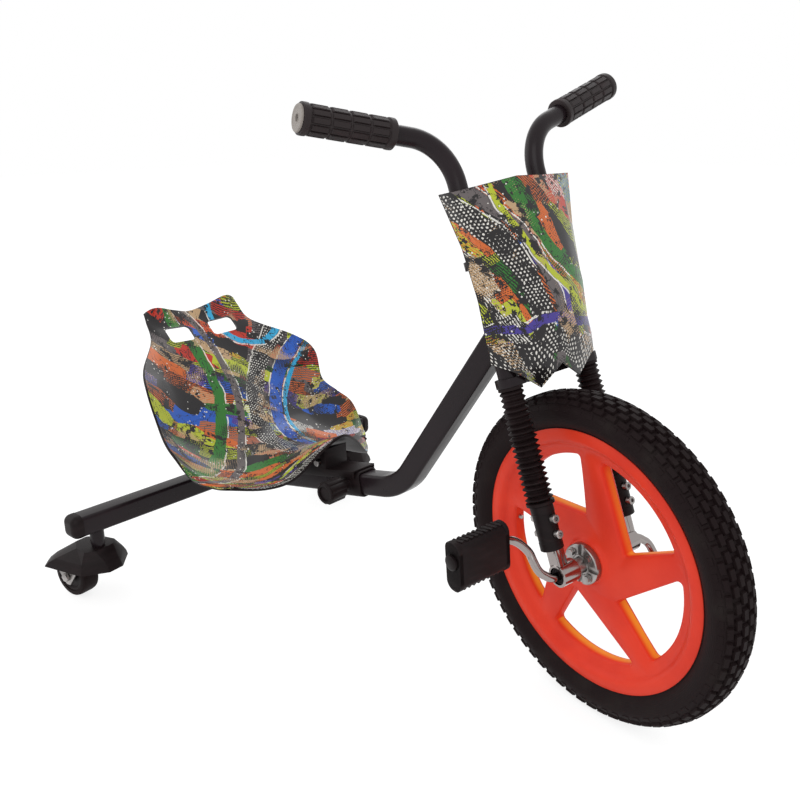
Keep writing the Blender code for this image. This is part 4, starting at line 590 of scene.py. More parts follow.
MAKERS = {
    "black_paint": make_paint,
    "black_rubber": make_rubber,
    "grip_rubber": lambda name, looks: make_rubber(name, looks, 0.3, 1.2),
    "tyre_rubber": make_tyre_rubber,
    "black_plastic": make_plastic,
    "chrome": make_chrome,
    "zinc": make_zinc,
    "red_plastic": make_red,
    "red_window_wall": make_red_edge,
    "grey_plastic": make_grey,
    "seat_print": lambda name, looks: make_print(name, looks, 0.0, SEAT_BANDS),
    "fairing_print": lambda name, looks: make_print(name, looks, 1.0, FAIRING_BANDS),
}


FINISHES = {}


def material(name):
    """The named finish, made on its first use."""
    if name not in FINISHES:
        FINISHES[name] = MAKERS[name](name, bpy.context.scene.trike_looks)
    return FINISHES[name]


def object_of(mesh):
    thing = bpy.data.objects.new("piece", mesh)
    bpy.context.scene.collection.objects.link(thing)
    return thing


def from_form(form):
    """A mesh object from an editing mesh, with its faces pointing outwards."""
    bmesh.ops.remove_doubles(form, verts=form.verts, dist=0.000001)
    bmesh.ops.recalc_face_normals(form, faces=form.faces)
    mesh = bpy.data.meshes.new("piece")
    form.to_mesh(mesh)
    form.free()
    return object_of(mesh)


def plain(thing):
    """The same object as a plain mesh, its modifiers or curve settings used up."""
    bpy.context.view_layer.update()
    seen = thing.evaluated_get(bpy.context.evaluated_depsgraph_get())
    mesh = bpy.data.meshes.new_from_object(seen)
    fresh = object_of(mesh)
    bpy.data.objects.remove(thing, do_unlink=True)
    return fresh


def ease_edges(thing, width, segments=2, angle=30):
    step = thing.modifiers.new("edges", "BEVEL")
    step.width = width
    step.segments = segments
    step.limit_method = "ANGLE"
    step.angle_limit = radians(angle)
    step.use_clamp_overlap = True
    return plain(thing)


def cut(thing, tool):
    """A piece with the tool's shape taken out of it; the tool is used up."""
    step = thing.modifiers.new("cut", "BOOLEAN")
    step.operation = "DIFFERENCE"
    step.solver = "EXACT"
    step.object = tool
    made = plain(thing)
    bpy.data.objects.remove(tool, do_unlink=True)
    return made


def biggest(thing):
    """A cut piece without the smaller lumps that the cuts left loose."""
    form = bmesh.new()
    form.from_mesh(thing.data)
    lumps = []
    seen = set()
    for vert in form.verts:
        if vert in seen:
            continue
        lump = [vert]
        seen.add(vert)
        for near in lump:
            for edge in near.link_edges:
                other = edge.other_vert(near)
                if other not in seen:
                    seen.add(other)
                    lump.append(other)
        lumps.append(lump)
    lumps.sort(key=len)
    for lump in lumps[:-1]:
        bmesh.ops.delete(form, geom=lump, context="VERTS")
    bpy.data.objects.remove(thing, do_unlink=True)
    return from_form(form)


def joined(things):
    """Several plain meshes as one."""
    form = bmesh.new()
    for thing in things:
        form.from_mesh(thing.data)
    mesh = bpy.data.meshes.new("piece")
    form.to_mesh(mesh)
    form.free()
    for thing in things:
        bpy.data.objects.remove(thing, do_unlink=True)
    return object_of(mesh)


def settle(thing, name, body, nodes, finish, place=None, smooth=35):
    """Bakes a piece's place into its mesh, names it, and lets it ride in place of its solids."""
    if place is not None:
        thing.data.transform(place)
        if place.to_3x3().determinant() < 0:
            thing.data.flip_normals()
    thing.name = name
    thing.data.name = name
    finishes = finish if isinstance(finish, list) else [finish]
    marks = [min(face.material_index, len(finishes) - 1) for face in thing.data.polygons]
    thing.data.materials.clear()
    for entry in finishes:
        thing.data.materials.append(material(entry))
    thing.data.polygons.foreach_set("material_index", marks)
    thing.data.shade_smooth()
    thing.data.set_sharp_from_angle(angle=radians(smooth))
    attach(thing, body)
    if nodes:
        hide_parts(*nodes)
    return thing


def full_turn(steps):
    """The angles of one turn in equal steps."""
    return [2 * pi * i / steps for i in range(steps)]


def skin(form, rows, closed=False):
    """Faces between neighbouring rings of points; closed joins the last ring to the first."""
    pairs = list(zip(rows, rows[1:]))
    if closed:
        pairs.append((rows[-1], rows[0]))
    for upper, lower in pairs:
        for i in range(len(upper)):
            j = (i + 1) % len(upper)
            corners = list(dict.fromkeys((upper[i], lower[i], lower[j], upper[j])))
            if len(corners) > 2:
                form.faces.new(corners)


def capped(form, rows):
    """A closed body through rings of points, with a flat face at each end."""
    skin(form, rows)
    form.faces.new(rows[0])
    form.faces.new(rows[-1])
    return from_form(form)


def ring(form, here, across, other, radius, sides):
    """Points of a circle about a place, in the plane of two directions."""
    return [form.verts.new(here + (across * cos(a) + other * sin(a)) * radius)
            for a in full_turn(sides)]


def lathe(profile, steps=64, closed=False):
    """A profile of (radius, height) turned about local Z."""
    form = bmesh.new()
    rows = []
    for radius, height in profile:
        if radius < 0.000001:
            rows.append([form.verts.new((0, 0, height))] * steps)
        else:
            rows.append([form.verts.new((x, y, height)) for x, y in circle(radius, steps)])
    skin(form, rows, closed)
    return from_form(form)


def circle(radius, sides=64):
    return [(radius * cos(a), radius * sin(a)) for a in full_turn(sides)]


def rounded(corners, radius, segments=6):
    """A closed outline with rounded corners; radius and segments: one value, or one per corner."""
    radii = radius if isinstance(radius, list) else [radius] * len(corners)
    steps = segments if isinstance(segments, list) else [segments] * len(corners)
    outline = []
    count = len(corners)
    for i, corner in enumerate(corners):
        here = Vector(corner)
        before = (Vector(corners[i - 1]) - here).normalized()
        after = (Vector(corners[(i + 1) % count]) - here).normalized()
        if radii[i] <= 0:
            outline.append(tuple(here))
            continue
        half = before.angle(after) / 2
        middle = here + (before + after).normalized() * (radii[i] / sin(half))
        reach = radii[i] / tan(half)
        start = here + before * reach - middle
        side = 1 if start.cross(here + after * reach - middle) > 0 else -1
        for step in range(steps[i] + 1):
            turn = Matrix.Rotation(side * (pi - 2 * half) * step / steps[i], 2)
            outline.append(tuple(middle + turn @ start))
    return outline


def square(half_x, half_y, corner, segments=6):
    corners = [(-half_x, -half_y), (half_x, -half_y), (half_x, half_y), (-half_x, half_y)]
    return rounded(corners, corner, segments)


def plate(outlines, low, high):
    """A flat plate between two heights of local Z; later outlines are holes."""
    curve = bpy.data.curves.new("plate", "CURVE")
    curve.dimensions = "2D"
    curve.fill_mode = "BOTH"
    curve.extrude = (high - low) / 2
    for outline in outlines:
        spline = curve.splines.new("POLY")
        spline.points.add(len(outline) - 1)
        for point, (across, along) in zip(spline.points, outline):
            point.co = (across, along, 0, 1)
        spline.use_cyclic_u = True
    made = plain(object_of(curve))
    form = bmesh.new()
    form.from_mesh(made.data)
    bmesh.ops.translate(form, verts=form.verts, vec=(0, 0, (low + high) / 2))
    bpy.data.objects.remove(made, do_unlink=True)
    return from_form(form)


def loft(rows):
    """A closed body through outlines of equal length, each with its height of local Z."""
    form = bmesh.new()
    return capped(form, [[form.verts.new((x, y, height)) for x, y in outline]
                         for outline, height in rows])


def tube(points, radius, sides=24):
    """A round bar along points, capped at both ends."""
    form = bmesh.new()
    rows = []
    across = None
    for i, here in enumerate(points):
        way = (points[min(i + 1, len(points) - 1)] - points[max(i - 1, 0)]).normalized()
        if across is None:
            across = way.orthogonal().normalized()
        across = (across - way * across.dot(way)).normalized()
        rows.append(ring(form, here, across, way.cross(across), radius, sides))
    return capped(form, rows)


def swept(outline, points):
    """A section carried along points of the middle plane, its local Y kept upright."""
    form = bmesh.new()
    rows = []
    for i, here in enumerate(points):
        before = (here - points[max(i - 1, 0)]).normalized()
        after = (points[min(i + 1, len(points) - 1)] - here).normalized()
        way = (before + after).normalized()
        rise = LEFT.cross(way) * -1
        rows.append([form.verts.new(here + LEFT * x + rise * y) for x, y in outline])
    return capped(form, rows)


def bend(start, corner, end, radius, segments):
    """Points of a straight run, a bend of one radius and a straight run."""
    before = (start - corner).normalized()
    after = (end - corner).normalized()
    half = before.angle(after) / 2
    reach = radius / tan(half)
    middle = corner + (before + after).normalized() * (radius / sin(half))
    first = corner + before * reach - middle
    axis = first.cross(corner + after * reach - middle).normalized()
    points = [start]
    for step in range(segments + 1):
        points.append(middle + Matrix.Rotation((pi - 2 * half) * step / segments, 3, axis) @ first)
    points.append(end)
    return points


def smooth_path(points, steps):
    """Points along a smooth curve through the given ones."""
    made = []
    for i in range(len(points) - 1):
        before = points[max(i - 1, 0)]
        here = points[i]
        there = points[i + 1]
        beyond = points[min(i + 2, len(points) - 1)]
        for step in range(steps):
            t = step / steps
            made.append(here + (there - before) * (t / 2)
                        + (before * 2 - here * 5 + there * 4 - beyond) * (t * t / 2)
                        + (here * 3 - before - there * 3 + beyond) * (t ** 3 / 2))
    made.append(points[-1])
    return made


def refined(node, width, segments=2, angle=30):
    """A copy of a flat-sided solid with its triangles joined and its edges eased."""
    form = bmesh.new()
    form.from_mesh(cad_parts[node].data)
    bmesh.ops.remove_doubles(form, verts=form.verts, dist=0.000002)
    bmesh.ops.dissolve_limit(form, angle_limit=radians(0.5), verts=form.verts, edges=form.edges)
    thing = from_form(form)
    return ease_edges(thing, width, segments, angle)


class Growth(Net):
    """A geometry tree with named sizes, used up into a plain mesh."""

    def __init__(self, name, sizes, finish, takes_mesh=False):
        tree = bpy.data.node_groups.new(name, "GeometryNodeTree")
        super().__init__(tree)
        tree.interface.new_socket("Geometry", in_out="OUTPUT", socket_type="NodeSocketGeometry")
        if takes_mesh:
            tree.interface.new_socket("Geometry", in_out="INPUT", socket_type="NodeSocketGeometry")
        for label, value in sizes.items():
            kind = "NodeSocketInt" if isinstance(value, int) else "NodeSocketFloat"
            tree.interface.new_socket(label, in_out="INPUT", socket_type=kind).default_value = value
        self.start = self.node("NodeGroupInput")
        self.finish = finish

    def size(self, label):
        return Num(self, self.start.outputs[label])

    def finished(self, geometry):
        real = self.out(self.node("GeometryNodeRealizeInstances", None, {0: geometry}))
        coated = self.node("GeometryNodeSetMaterial", None,
                           {"Geometry": real, "Material": material(self.finish)})
        end = self.node("NodeGroupOutput")
        self.put(end.inputs[0], self.out(coated))

    def grown(self, thing=None, values=None):
        """The tree's mesh, with the given values in place of its defaults."""
        if thing is None:
            thing = object_of(bpy.data.meshes.new("seed"))
        step = thing.modifiers.new("growth", "NODES")
        step.node_group = self.tree
        for item in self.tree.interface.items_tree:
            if item.in_out == "INPUT" and item.name in (values or {}):
                step[item.identifier] = values[item.name]
        return plain(thing)


def stud_ring_tree(finish):
    """Tapered studs round local Z: treads, pads and bolt heads."""
    sizes = {"Count": 12, "Corners": 4, "Phase": 0.0, "Radius": 0.1, "Along": 0.0, "Tilt": 0.0,
             "Width": 0.01, "Length": 0.01, "Height": 0.003, "Taper": 0.8, "Spin": pi / 4}
    tree = Growth("stud_ring", sizes, finish)
    size = tree.size
    half_diagonal = 0.5 * 2 ** 0.5
    stud = tree.node("GeometryNodeMeshCone", None,
                     {"Vertices": size("Corners"), "Radius Top": size("Taper") * half_diagonal,
                      "Radius Bottom": half_diagonal, "Depth": size("Height")})
    turned = tree.node("GeometryNodeTransform", None,
                       {"Geometry": tree.out(stud), "Rotation": tree.vector(0.0, 0.0, size("Spin"))})
    placed = tree.node("GeometryNodeTransform", None, {
        "Geometry": tree.out(turned),
        "Scale": tree.vector(size("Width"), size("Length"), 1.0),
        "Rotation": tree.vector(0.0, pi / 2 - size("Tilt"), 0.0),
        "Translation": tree.vector(size("Radius"), 0.0, size("Along"))})
    spots = tree.node("GeometryNodeMeshLine", None, {"Count": size("Count"), "Offset": (0, 0, 0)})
    index = tree.out(tree.node("GeometryNodeInputIndex"))
    angle = index * (2 * pi / size("Count")) + size("Phase")
    spread = tree.node("GeometryNodeInstanceOnPoints", None, {
        "Points": tree.out(spots), "Instance": tree.out(placed),
        "Rotation": tree.vector(0.0, 0.0, angle)})
    tree.finished(tree.out(spread))
    return tree


def bellows_tree(finish):
    """A ribbed sleeve: a round tube whose radius rises and falls along local Z."""
    sizes = {"Ribs": 20, "Length": 0.1375, "Crest": 0.0165, "Top Crest": 0.0143, "Rib": 0.003,
             "Cuff": 0.004}
    tree = Growth("bellows", sizes, finish)
    size = tree.size
    line = tree.node("GeometryNodeCurvePrimitiveLine", None,
                     {"Start": (0, 0, 0), "End": tree.vector(0.0, 0.0, size("Length"))})
    fine = tree.node("GeometryNodeResampleCurve", None,
                     {"Curve": tree.out(line), "Count": size("Ribs") * 12 + 1})
    share = tree.out(tree.node("GeometryNodeSplineParameter"), "Factor")
    height = share * size("Length")
    inside = (height > size("Cuff")) * (height < size("Length") - size("Cuff"))
    turns = (height - size("Cuff")) / (size("Length") - size("Cuff") * 2.0) * size("Ribs")
    wave = abs(tree.fraction(turns) * 2.0 - 1.0) * inside
    slim = tree.most((share - 0.5) * 2.0, 0.0)
    crest = size("Crest") + (size("Top Crest") - size("Crest")) * slim
    radius = crest - wave * size("Rib") * (1.0 - slim * 0.4)
    round_one = tree.node("GeometryNodeCurvePrimitiveCircle", None,
                          {"Resolution": 40, "Radius": 1.0})
    sleeve = tree.node("GeometryNodeCurveToMesh", None, {
        "Curve": tree.out(fine), "Profile Curve": tree.out(round_one), "Scale": radius,
        "Fill Caps": True})
    tree.finished(tree.out(sleeve))
    return tree


def spread_tree(finish):
    """Copies of a mesh turned about local Z."""
    tree = Growth("spread", {"Count": 5}, finish, True)
    spots = tree.node("GeometryNodeMeshLine", None,
                      {"Count": tree.size("Count"), "Offset": (0, 0, 0)})
    index = tree.out(tree.node("GeometryNodeInputIndex"))
    spread = tree.node("GeometryNodeInstanceOnPoints", None, {
        "Points": tree.out(spots), "Instance": tree.size("Geometry"),
        "Rotation": tree.vector(0.0, 0.0, index * (2 * pi / tree.size("Count")))})
    real = tree.out(tree.node("GeometryNodeRealizeInstances", None, {0: tree.out(spread)}))
    end = tree.node("NodeGroupOutput")
    tree.put(end.inputs[0], real)
    return tree


def row_tree(finish):
    """A row of slanted bars along local Z, on the plane local X = Radius."""
    sizes = {"Count": 8, "Pitch": 0.008, "Radius": 0.01, "Width": 0.02, "Length": 0.002,
             "Height": 0.001, "Slant": 0.6, "Along": 0.0}
    tree = Growth("bar_row", sizes, finish)
    size = tree.size
    block = tree.node("GeometryNodeMeshCube", None,
                      {"Size": tree.vector(size("Height"), size("Width"), size("Length"))})
    spots = tree.node("GeometryNodeMeshLine", None, {
        "Count": size("Count"), "Start Location": tree.vector(size("Radius"), 0.0, size("Along")),
        "Offset": tree.vector(0.0, 0.0, size("Pitch"))})
    spread = tree.node("GeometryNodeInstanceOnPoints", None, {
        "Points": tree.out(spots), "Instance": tree.out(block),
        "Rotation": tree.vector(size("Slant"), 0.0, 0.0)})
    tree.finished(tree.out(spread))
    return tree


def beam_corner():
    return Vector((BEAM_BEND_X, 0, REAR_Z + (BEAM_BEND_X - REAR_X) * tan(BEAM_SLOPE)))


def beam_height(x):
    return REAR_Z + (x - REAR_X) * tan(BEAM_SLOPE)


def rear_axes():
    """Local Z along the rear cross tube, to the rider's left."""
    return FRAME @ axes_at(Vector((REAR_X, 0, REAR_Z)), Vector((1, 0, 0)), LEFT)


def plain_fork_axes():
    """Along the head tube, which stays with the frame when the fork turns."""
    return FRAME @ axes_at(STEER_FOOT, AHEAD_FORK, UP_FORK)


class TrikeLooks(bpy.types.PropertyGroup):
    """Colours and finishes"""
    paint_color: FloatVectorProperty(name="Paint", description="Colour of the frame's powder coat",
                                     subtype="COLOR", default=(0.0125, 0.0078, 0.0096))
    paint_roughness: FloatProperty(name="Paint roughness", description="How dull the paint is",
                                   default=0.24)
    rubber_color: FloatVectorProperty(name="Rubber", description="Colour of grips, gaiters and tyres",
                                      subtype="COLOR", default=(0.0125, 0.0072, 0.0076))
    plastic_color: FloatVectorProperty(name="Black plastic", description="Colour of the moulded parts",
                                       subtype="COLOR", default=(0.0098, 0.0062, 0.0066))
    chrome_color: FloatVectorProperty(name="Chrome", description="Colour of the crank and fork ends",
                                      subtype="COLOR", default=(0.31, 0.28, 0.27))
    zinc_color: FloatVectorProperty(name="Zinc", description="Colour of the plated steel",
                                    subtype="COLOR", default=(0.38, 0.36, 0.35))
    wheel_color: FloatVectorProperty(name="Wheel", description="Main colour of the front wheel",
                                     subtype="COLOR", default=(0.80, 0.046, 0.017))
    wheel_shade: FloatVectorProperty(name="Wheel shade", description="Deeper colour of the front wheel",
                                     subtype="COLOR", default=(0.70, 0.034, 0.014))
    # The bright orange-yellow painted as light on the upward-facing window walls
    painted_wall_light_color: FloatVectorProperty(name="Window walls", description="Colour of the window walls",
                                      subtype="COLOR", default=(0.98, 0.34, 0.03))
    ink: FloatVectorProperty(name="Ink", description="Black of the print", subtype="COLOR",
                             default=(0.009, 0.007, 0.008))
    paper: FloatVectorProperty(name="Paper", description="White of the print", subtype="COLOR",
                               default=(0.78, 0.76, 0.70))
    sand: FloatVectorProperty(name="Sand", description="Pale ground of the dot screens",
                              subtype="COLOR", default=(0.50, 0.33, 0.18))
    orange: FloatVectorProperty(name="Orange", description="Orange of the print", subtype="COLOR",
                                default=(0.62, 0.13, 0.022))
    red: FloatVectorProperty(name="Red", description="Red of the print", subtype="COLOR",
                             default=(0.52, 0.030, 0.014))
    lime: FloatVectorProperty(name="Lime", description="Yellow-green of the print", subtype="COLOR",
                              default=(0.46, 0.52, 0.025))
    green: FloatVectorProperty(name="Green", description="Green of the print", subtype="COLOR",
                               default=(0.022, 0.17, 0.018))
    blue: FloatVectorProperty(name="Blue", description="Blue of the print", subtype="COLOR",
                              default=(0.014, 0.10, 0.50))
    cyan: FloatVectorProperty(name="Cyan", description="Light blue of the print", subtype="COLOR",
                              default=(0.03, 0.40, 0.70))
    violet: FloatVectorProperty(name="Violet", description="Violet of the print", subtype="COLOR",
                                default=(0.060, 0.040, 0.28))
    grey: FloatVectorProperty(name="Grey", description="Grey of the print", subtype="COLOR",
                              default=(0.13, 0.11, 0.11))
    patch_density: FloatProperty(name="Patches", description="Colour patches to a metre", default=21.0)
    dot_pitch: FloatProperty(name="Dot pitch", description="Distance between the dots of a screen",
                             subtype="DISTANCE", default=0.0046)


class TrikeTyre(bpy.types.PropertyGroup):
    """Sizes of the tread"""
    repeats: IntProperty(name="Repeats", description="Tread blocks round each row", default=70)
    block_height: FloatProperty(name="Block height", description="How far the blocks stand proud",
                                subtype="DISTANCE", default=0.0036)


class TrikeFork(bpy.types.PropertyGroup):
    """Sizes of the gaiters and grips"""
    ribs: IntProperty(name="Ribs", description="Ribs on each gaiter", default=20)
    rib_depth: FloatProperty(name="Rib depth", description="From a rib's crest to its root",
                             subtype="DISTANCE", default=0.0050)
    pads: IntProperty(name="Grip pads", description="Pads round each band of a grip", default=12)


class TrikeStage(bpy.types.PropertyGroup):
    """Floor and light"""
    floor_color: FloatVectorProperty(name="Floor", description="Colour of the floor", subtype="COLOR",
                                     default=(0.9, 0.9, 0.9))
    sky: FloatProperty(name="Sky", description="Strength of the even light", default=0.75)
    key: FloatProperty(name="Key light", description="Power of the large light", subtype="POWER",
                       default=26.0)


class TRIKE_OT_frame(bpy.types.Operator):
    """Makes the beam, the rear cross tube, its caps and the head tube"""
    bl_idname = "trike.frame"
    bl_label = "Frame"

    def execute(self, context):
        half = BEAM_HALF
        corner = beam_corner()
        rise = Vector((cos(BEAM_RISE), 0, sin(BEAM_RISE)))
        along = AHEAD_FORK.dot(STEER_FOOT - corner) / AHEAD_FORK.dot(rise)
        line = bend(Vector((REAR_X, 0, REAR_Z)), corner, corner + rise * along,
                    BEAM_BEND_RADIUS, 20)
        beam = swept(square(half, half, BEAM_EDGE), line)
        tube_room = plate([square(0.040, 0.060, 0)], -0.05, 0.05)
        behind = Vector((REAR_X + half - 0.0398, 0, REAR_Z))
        tube_room.data.transform(axes_at(behind, AHEAD, LEFT))
        beam = cut(beam, tube_room)
        room = HEAD_RADIUS + 0.0002
        head_room = lathe([(0, HEAD_START - 0.03), (room, HEAD_START - 0.03), (room, HEAD_END + 0.03),
                           (0, HEAD_END + 0.03)], 96)
        head_room.data.transform(axes_at(STEER_FOOT, AHEAD_FORK, UP_FORK))
        beam = cut(beam, head_room)
        settle(biggest(beam), "beam_painted", "frame", ["main_beam"], "black_paint", FRAME)
        length = REAR_HALF_LENGTH - END_CAP_LENGTH
        rear = plate([square(half, half, 0.0050), square(0.0135, 0.0135, 0.003)], -length, length)
        settle(rear, "cross_tube_painted", "frame", ["rear_cross_tube"], "black_paint", rear_axes())
        head = lathe([(0.0150, HEAD_START), (0.0150, HEAD_END), (0.0162, HEAD_END),
                      (HEAD_RADIUS, HEAD_END - 0.0008), (HEAD_RADIUS, HEAD_START + 0.0008),
                      (0.0162, HEAD_START)], 64, True)
        settle(head, "head_tube_painted", "frame", ["head_tube"], "black_paint", plain_fork_axes())
        self.make_cups()
        self.make_weld(corner, rise)
        for side in (-1, 1):
            self.make_cap(side)
            self.make_stem(side)
        return {"FINISHED"}

    def make_cups(self):
        low = lathe([(0.0115, 0.2338), (0.0175, 0.2338), (0.0185, 0.2345), (0.0188, 0.2362),
                     (0.0199, 0.2368), (0.0200, 0.2400), (0.0196, 0.2410), (0.0146, 0.2411),
                     (0.0146, 0.2488), (0.0115, 0.2488)], 64, True)
        settle(low, "headset_lower", "frame", ["headset_cup_lower"], "zinc", plain_fork_axes())
        high = lathe([(0.0115, 0.3589), (0.0175, 0.3589), (0.0185, 0.3582), (0.0188, 0.3566),
                      (0.0199, 0.3560), (0.0200, 0.3526), (0.0196, 0.3517), (0.0146, 0.3516),
                      (0.0146, 0.3440), (0.0115, 0.3440)], 64, True)
        settle(high, "headset_upper", "frame", ["headset_cup_upper"], "zinc", plain_fork_axes())

    def make_weld(self, foot, rise):
        """A rippled bead round the beam where it meets the head tube."""
        outline = square(BEAM_HALF, BEAM_HALF, BEAM_EDGE, 5)
        up = LEFT.cross(rise) * -1
        points = []
        for i, (x, y) in enumerate(outline):
            there = Vector(outline[(i + 1) % len(outline)])
            steps = max(1, int((there - Vector((x, y))).length / 0.002))
            for step in range(steps):
                here = Vector((x, y)).lerp(there, step / steps)
                points.append(self.meeting(foot + LEFT * here.x + up * here.y, rise))
        form = bmesh.new()
        rows = []
        for i, here in enumerate(points):
            way = (points[(i + 1) % len(points)] - points[i - 1]).normalized()
            across = way.cross(rise).normalized()
            rows.append(ring(form, here, across, way.cross(across), 0.0019 + 0.0004 * (i % 2), 10))
        skin(form, rows, True)
        settle(from_form(form), "beam_weld", "frame", [], "black_paint", FRAME, 60)

    def meeting(self, place, way):
        """Where a line along the beam meets the head tube's wall."""
        gap = place - STEER_FOOT
        gap -= UP_FORK * gap.dot(UP_FORK)
        flat = way - UP_FORK * way.dot(UP_FORK)
        half = gap.dot(flat) / flat.length_squared
        rest = (gap.length_squared - HEAD_RADIUS ** 2) / flat.length_squared
        return place + way * (-half - max(half * half - rest, 0) ** 0.5)

    def make_cap(self, side):
        wide = BEAM_HALF + 0.002
        start = REAR_HALF_LENGTH - END_CAP_LENGTH + 0.0003
        rows = [(square(wide, wide, END_CAP_EDGE, 8), start)]
        for step in range(9):
            turn = pi / 2 * step / 8
            inset = END_CAP_DOME * (1 - cos(turn))
            rows.append((square(wide - inset, wide - inset, END_CAP_EDGE - inset, 8),
                         REAR_HALF_LENGTH - END_CAP_DOME * (1 - sin(turn))))
        label = side_name(side)
        settle(loft(rows), "end_cap_" + label, "frame", ["rear_end_cap_" + label], "black_plastic",
               rear_axes() @ mirrored(side), 40)

    def make_stem(self, side):
        top = STEM_TOP
        foot = COVER_TOP + 0.0004
        stem = lathe([(0, top), (0.0105, top), (0.0105, foot + 0.004), (0.0095, foot + 0.0035),
                      (0.0095, foot), (0.006, foot), (0.006, foot - 0.0055), (0.009, foot - 0.0058),
                      (0.009, foot - 0.0085), (0, foot - 0.0088)], 48)
        label = side_name(side)
        settle(stem, "caster_stem_turned_" + label, "frame", ["caster_stem_" + label], "black_paint",
               FRAME @ Matrix.Translation((REAR_X, side * CASTER_Y, 0)))


def socket_head(seat):
    """The upper half of a socket screw's profile, for a head that stands on its seat."""
    return [(0, seat + 0.0035), (0.0022, seat + 0.0035), (0.0024, seat + 0.006), (0.0043, seat + 0.006)]


class TRIKE_OT_fork(bpy.types.Operator):
    """Makes the crowns, the steerer, the legs with the handlebar, sleeves, gaiters and bolts"""
    bl_idname = "trike.fork"
    bl_label = "Fork"

    def execute(self, context):
        for name in ("fork_crown_lower", "fork_crown_upper"):
            settle(refined(name, 0.0012, 3), name + "_eased", "steering", [name], "black_paint")
        steerer = lathe([(0, 0.3791), (0.0100, 0.3791), (0.0110, 0.3782), (0.0110, 0.2228),
                         (0.0160, 0.2228), (0.0160, 0.2200), (0.0148, 0.2188), (0, 0.2188)], 48)
        settle(steerer, "steerer_bolt", "steering", ["steerer"], "zinc", fork_axes())
        nut = ease_edges(plate([circle(0.0160, 6), circle(0.0113, 32)], 0.3698, 0.3785), 0.0008)
        settle(nut, "steerer_hex_nut", "steering", [], "zinc", fork_axes())
        bellows = bellows_tree("black_rubber")
        for side in (-1, 1):
            self.make_leg(context, side, bellows)
        tongue = refined("fairing_bracket", 0.0006)
        settle(tongue, "fairing_tongue", "steering", ["fairing_bracket"], "black_paint")
        return {"FINISHED"}

    def make_leg(self, context, side, bellows):
        label = side_name(side)
        corner = bar_corner(side)
        foot = corner - UP_FORK * (BAR_CORNER - LEG_START)
        bar = tube(bend(foot, corner, corner + bar_reach(side), BAR_BEND_RADIUS, 24), LEG_RADIUS, 40)
        settle(bar, "bar_" + label, "steering", ["fork_tube_" + label], "black_paint", FRONT)
        sleeve = lathe([(0.0113, LEG_START), (0.0126, LEG_START), (0.0135, LEG_START + 0.0008),
                        (0.0135, LEG_START + 0.010), (0.0131, LEG_START + 0.0104),
                        (0.0131, SLEEVE_END - 0.0104), (0.0135, SLEEVE_END - 0.010),
                        (0.0135, SLEEVE_END - 0.0008), (0.0126, SLEEVE_END),
                        (0.0113, SLEEVE_END)], 48, True)
        settle(sleeve, "sleeve_" + label, "steering", ["leg_sleeve_" + label], "black_plastic",
               leg_axes(side))
        looks = context.scene.trike_fork
        gaiter = bellows.grown(None, {"Ribs": looks.ribs, "Rib": looks.rib_depth,
                                      "Length": GAITER_END - GAITER_START})
        settle(gaiter, "bellows_" + label, "steering", ["gaiter_" + label], "black_rubber",
               leg_axes(side) @ Matrix.Translation((0, 0, GAITER_START)), 80)
        for number, place in enumerate(LEG_BOLTS):
            self.make_bolt(side, number, place)
        lug = refined("fork_end_" + label, 0.0005)
        settle(lug, "fork_lug_" + label, "steering", ["fork_end_" + label], "chrome")
        housing = lathe([(0.0105, 0.038), (0.0125, 0.038), (0.0135, 0.0387), (0.0135, 0.0633),
                         (0.0125, 0.064), (0.0105, 0.064)], 56, True)
        settle(housing, "bearing_shell_" + label, "steering", ["bearing_housing_" + label], "chrome",
               axle_axes() @ mirrored(side))
        bush = lathe([(0.0055, 0.0385), (0.0102, 0.0385), (0.0102, 0.0612), (0.0094, 0.0620),
                      (0.0080, 0.0616), (0.0076, 0.0608), (0.0070, 0.0608), (0.0066, 0.0618),
                      (0.0055, 0.0618)], 56, True)
        settle(bush, "bush_" + label, "steering", ["axle_bush_" + label], "black_plastic",
               axle_axes() @ mirrored(side))

    def make_bolt(self, side, number, height):
        """A socket screw in front and its nut behind."""
        seat = 0.0138
        shank = lathe([(0, seat), (0.003, seat), (0.003, -seat), (0, -seat)], 24)
        head = lathe(socket_head(seat) + [(0.0050, seat + 0.0054), (0.0050, seat), (0, seat)], 32)
        nut = ease_edges(plate([circle(0.0050, 6)], -seat - 0.0055, -seat), 0.0005)
        label = side_name(side) + "_" + str(number + 1)
        place = leg_axes(side) @ Matrix.Translation((0, 0, height)) @ Matrix.Rotation(pi / 2, 4, "Y")
        settle(joined([shank, head, nut]), "leg_screw_" + label, "steering", ["leg_bolt_" + label],
               "zinc", place)


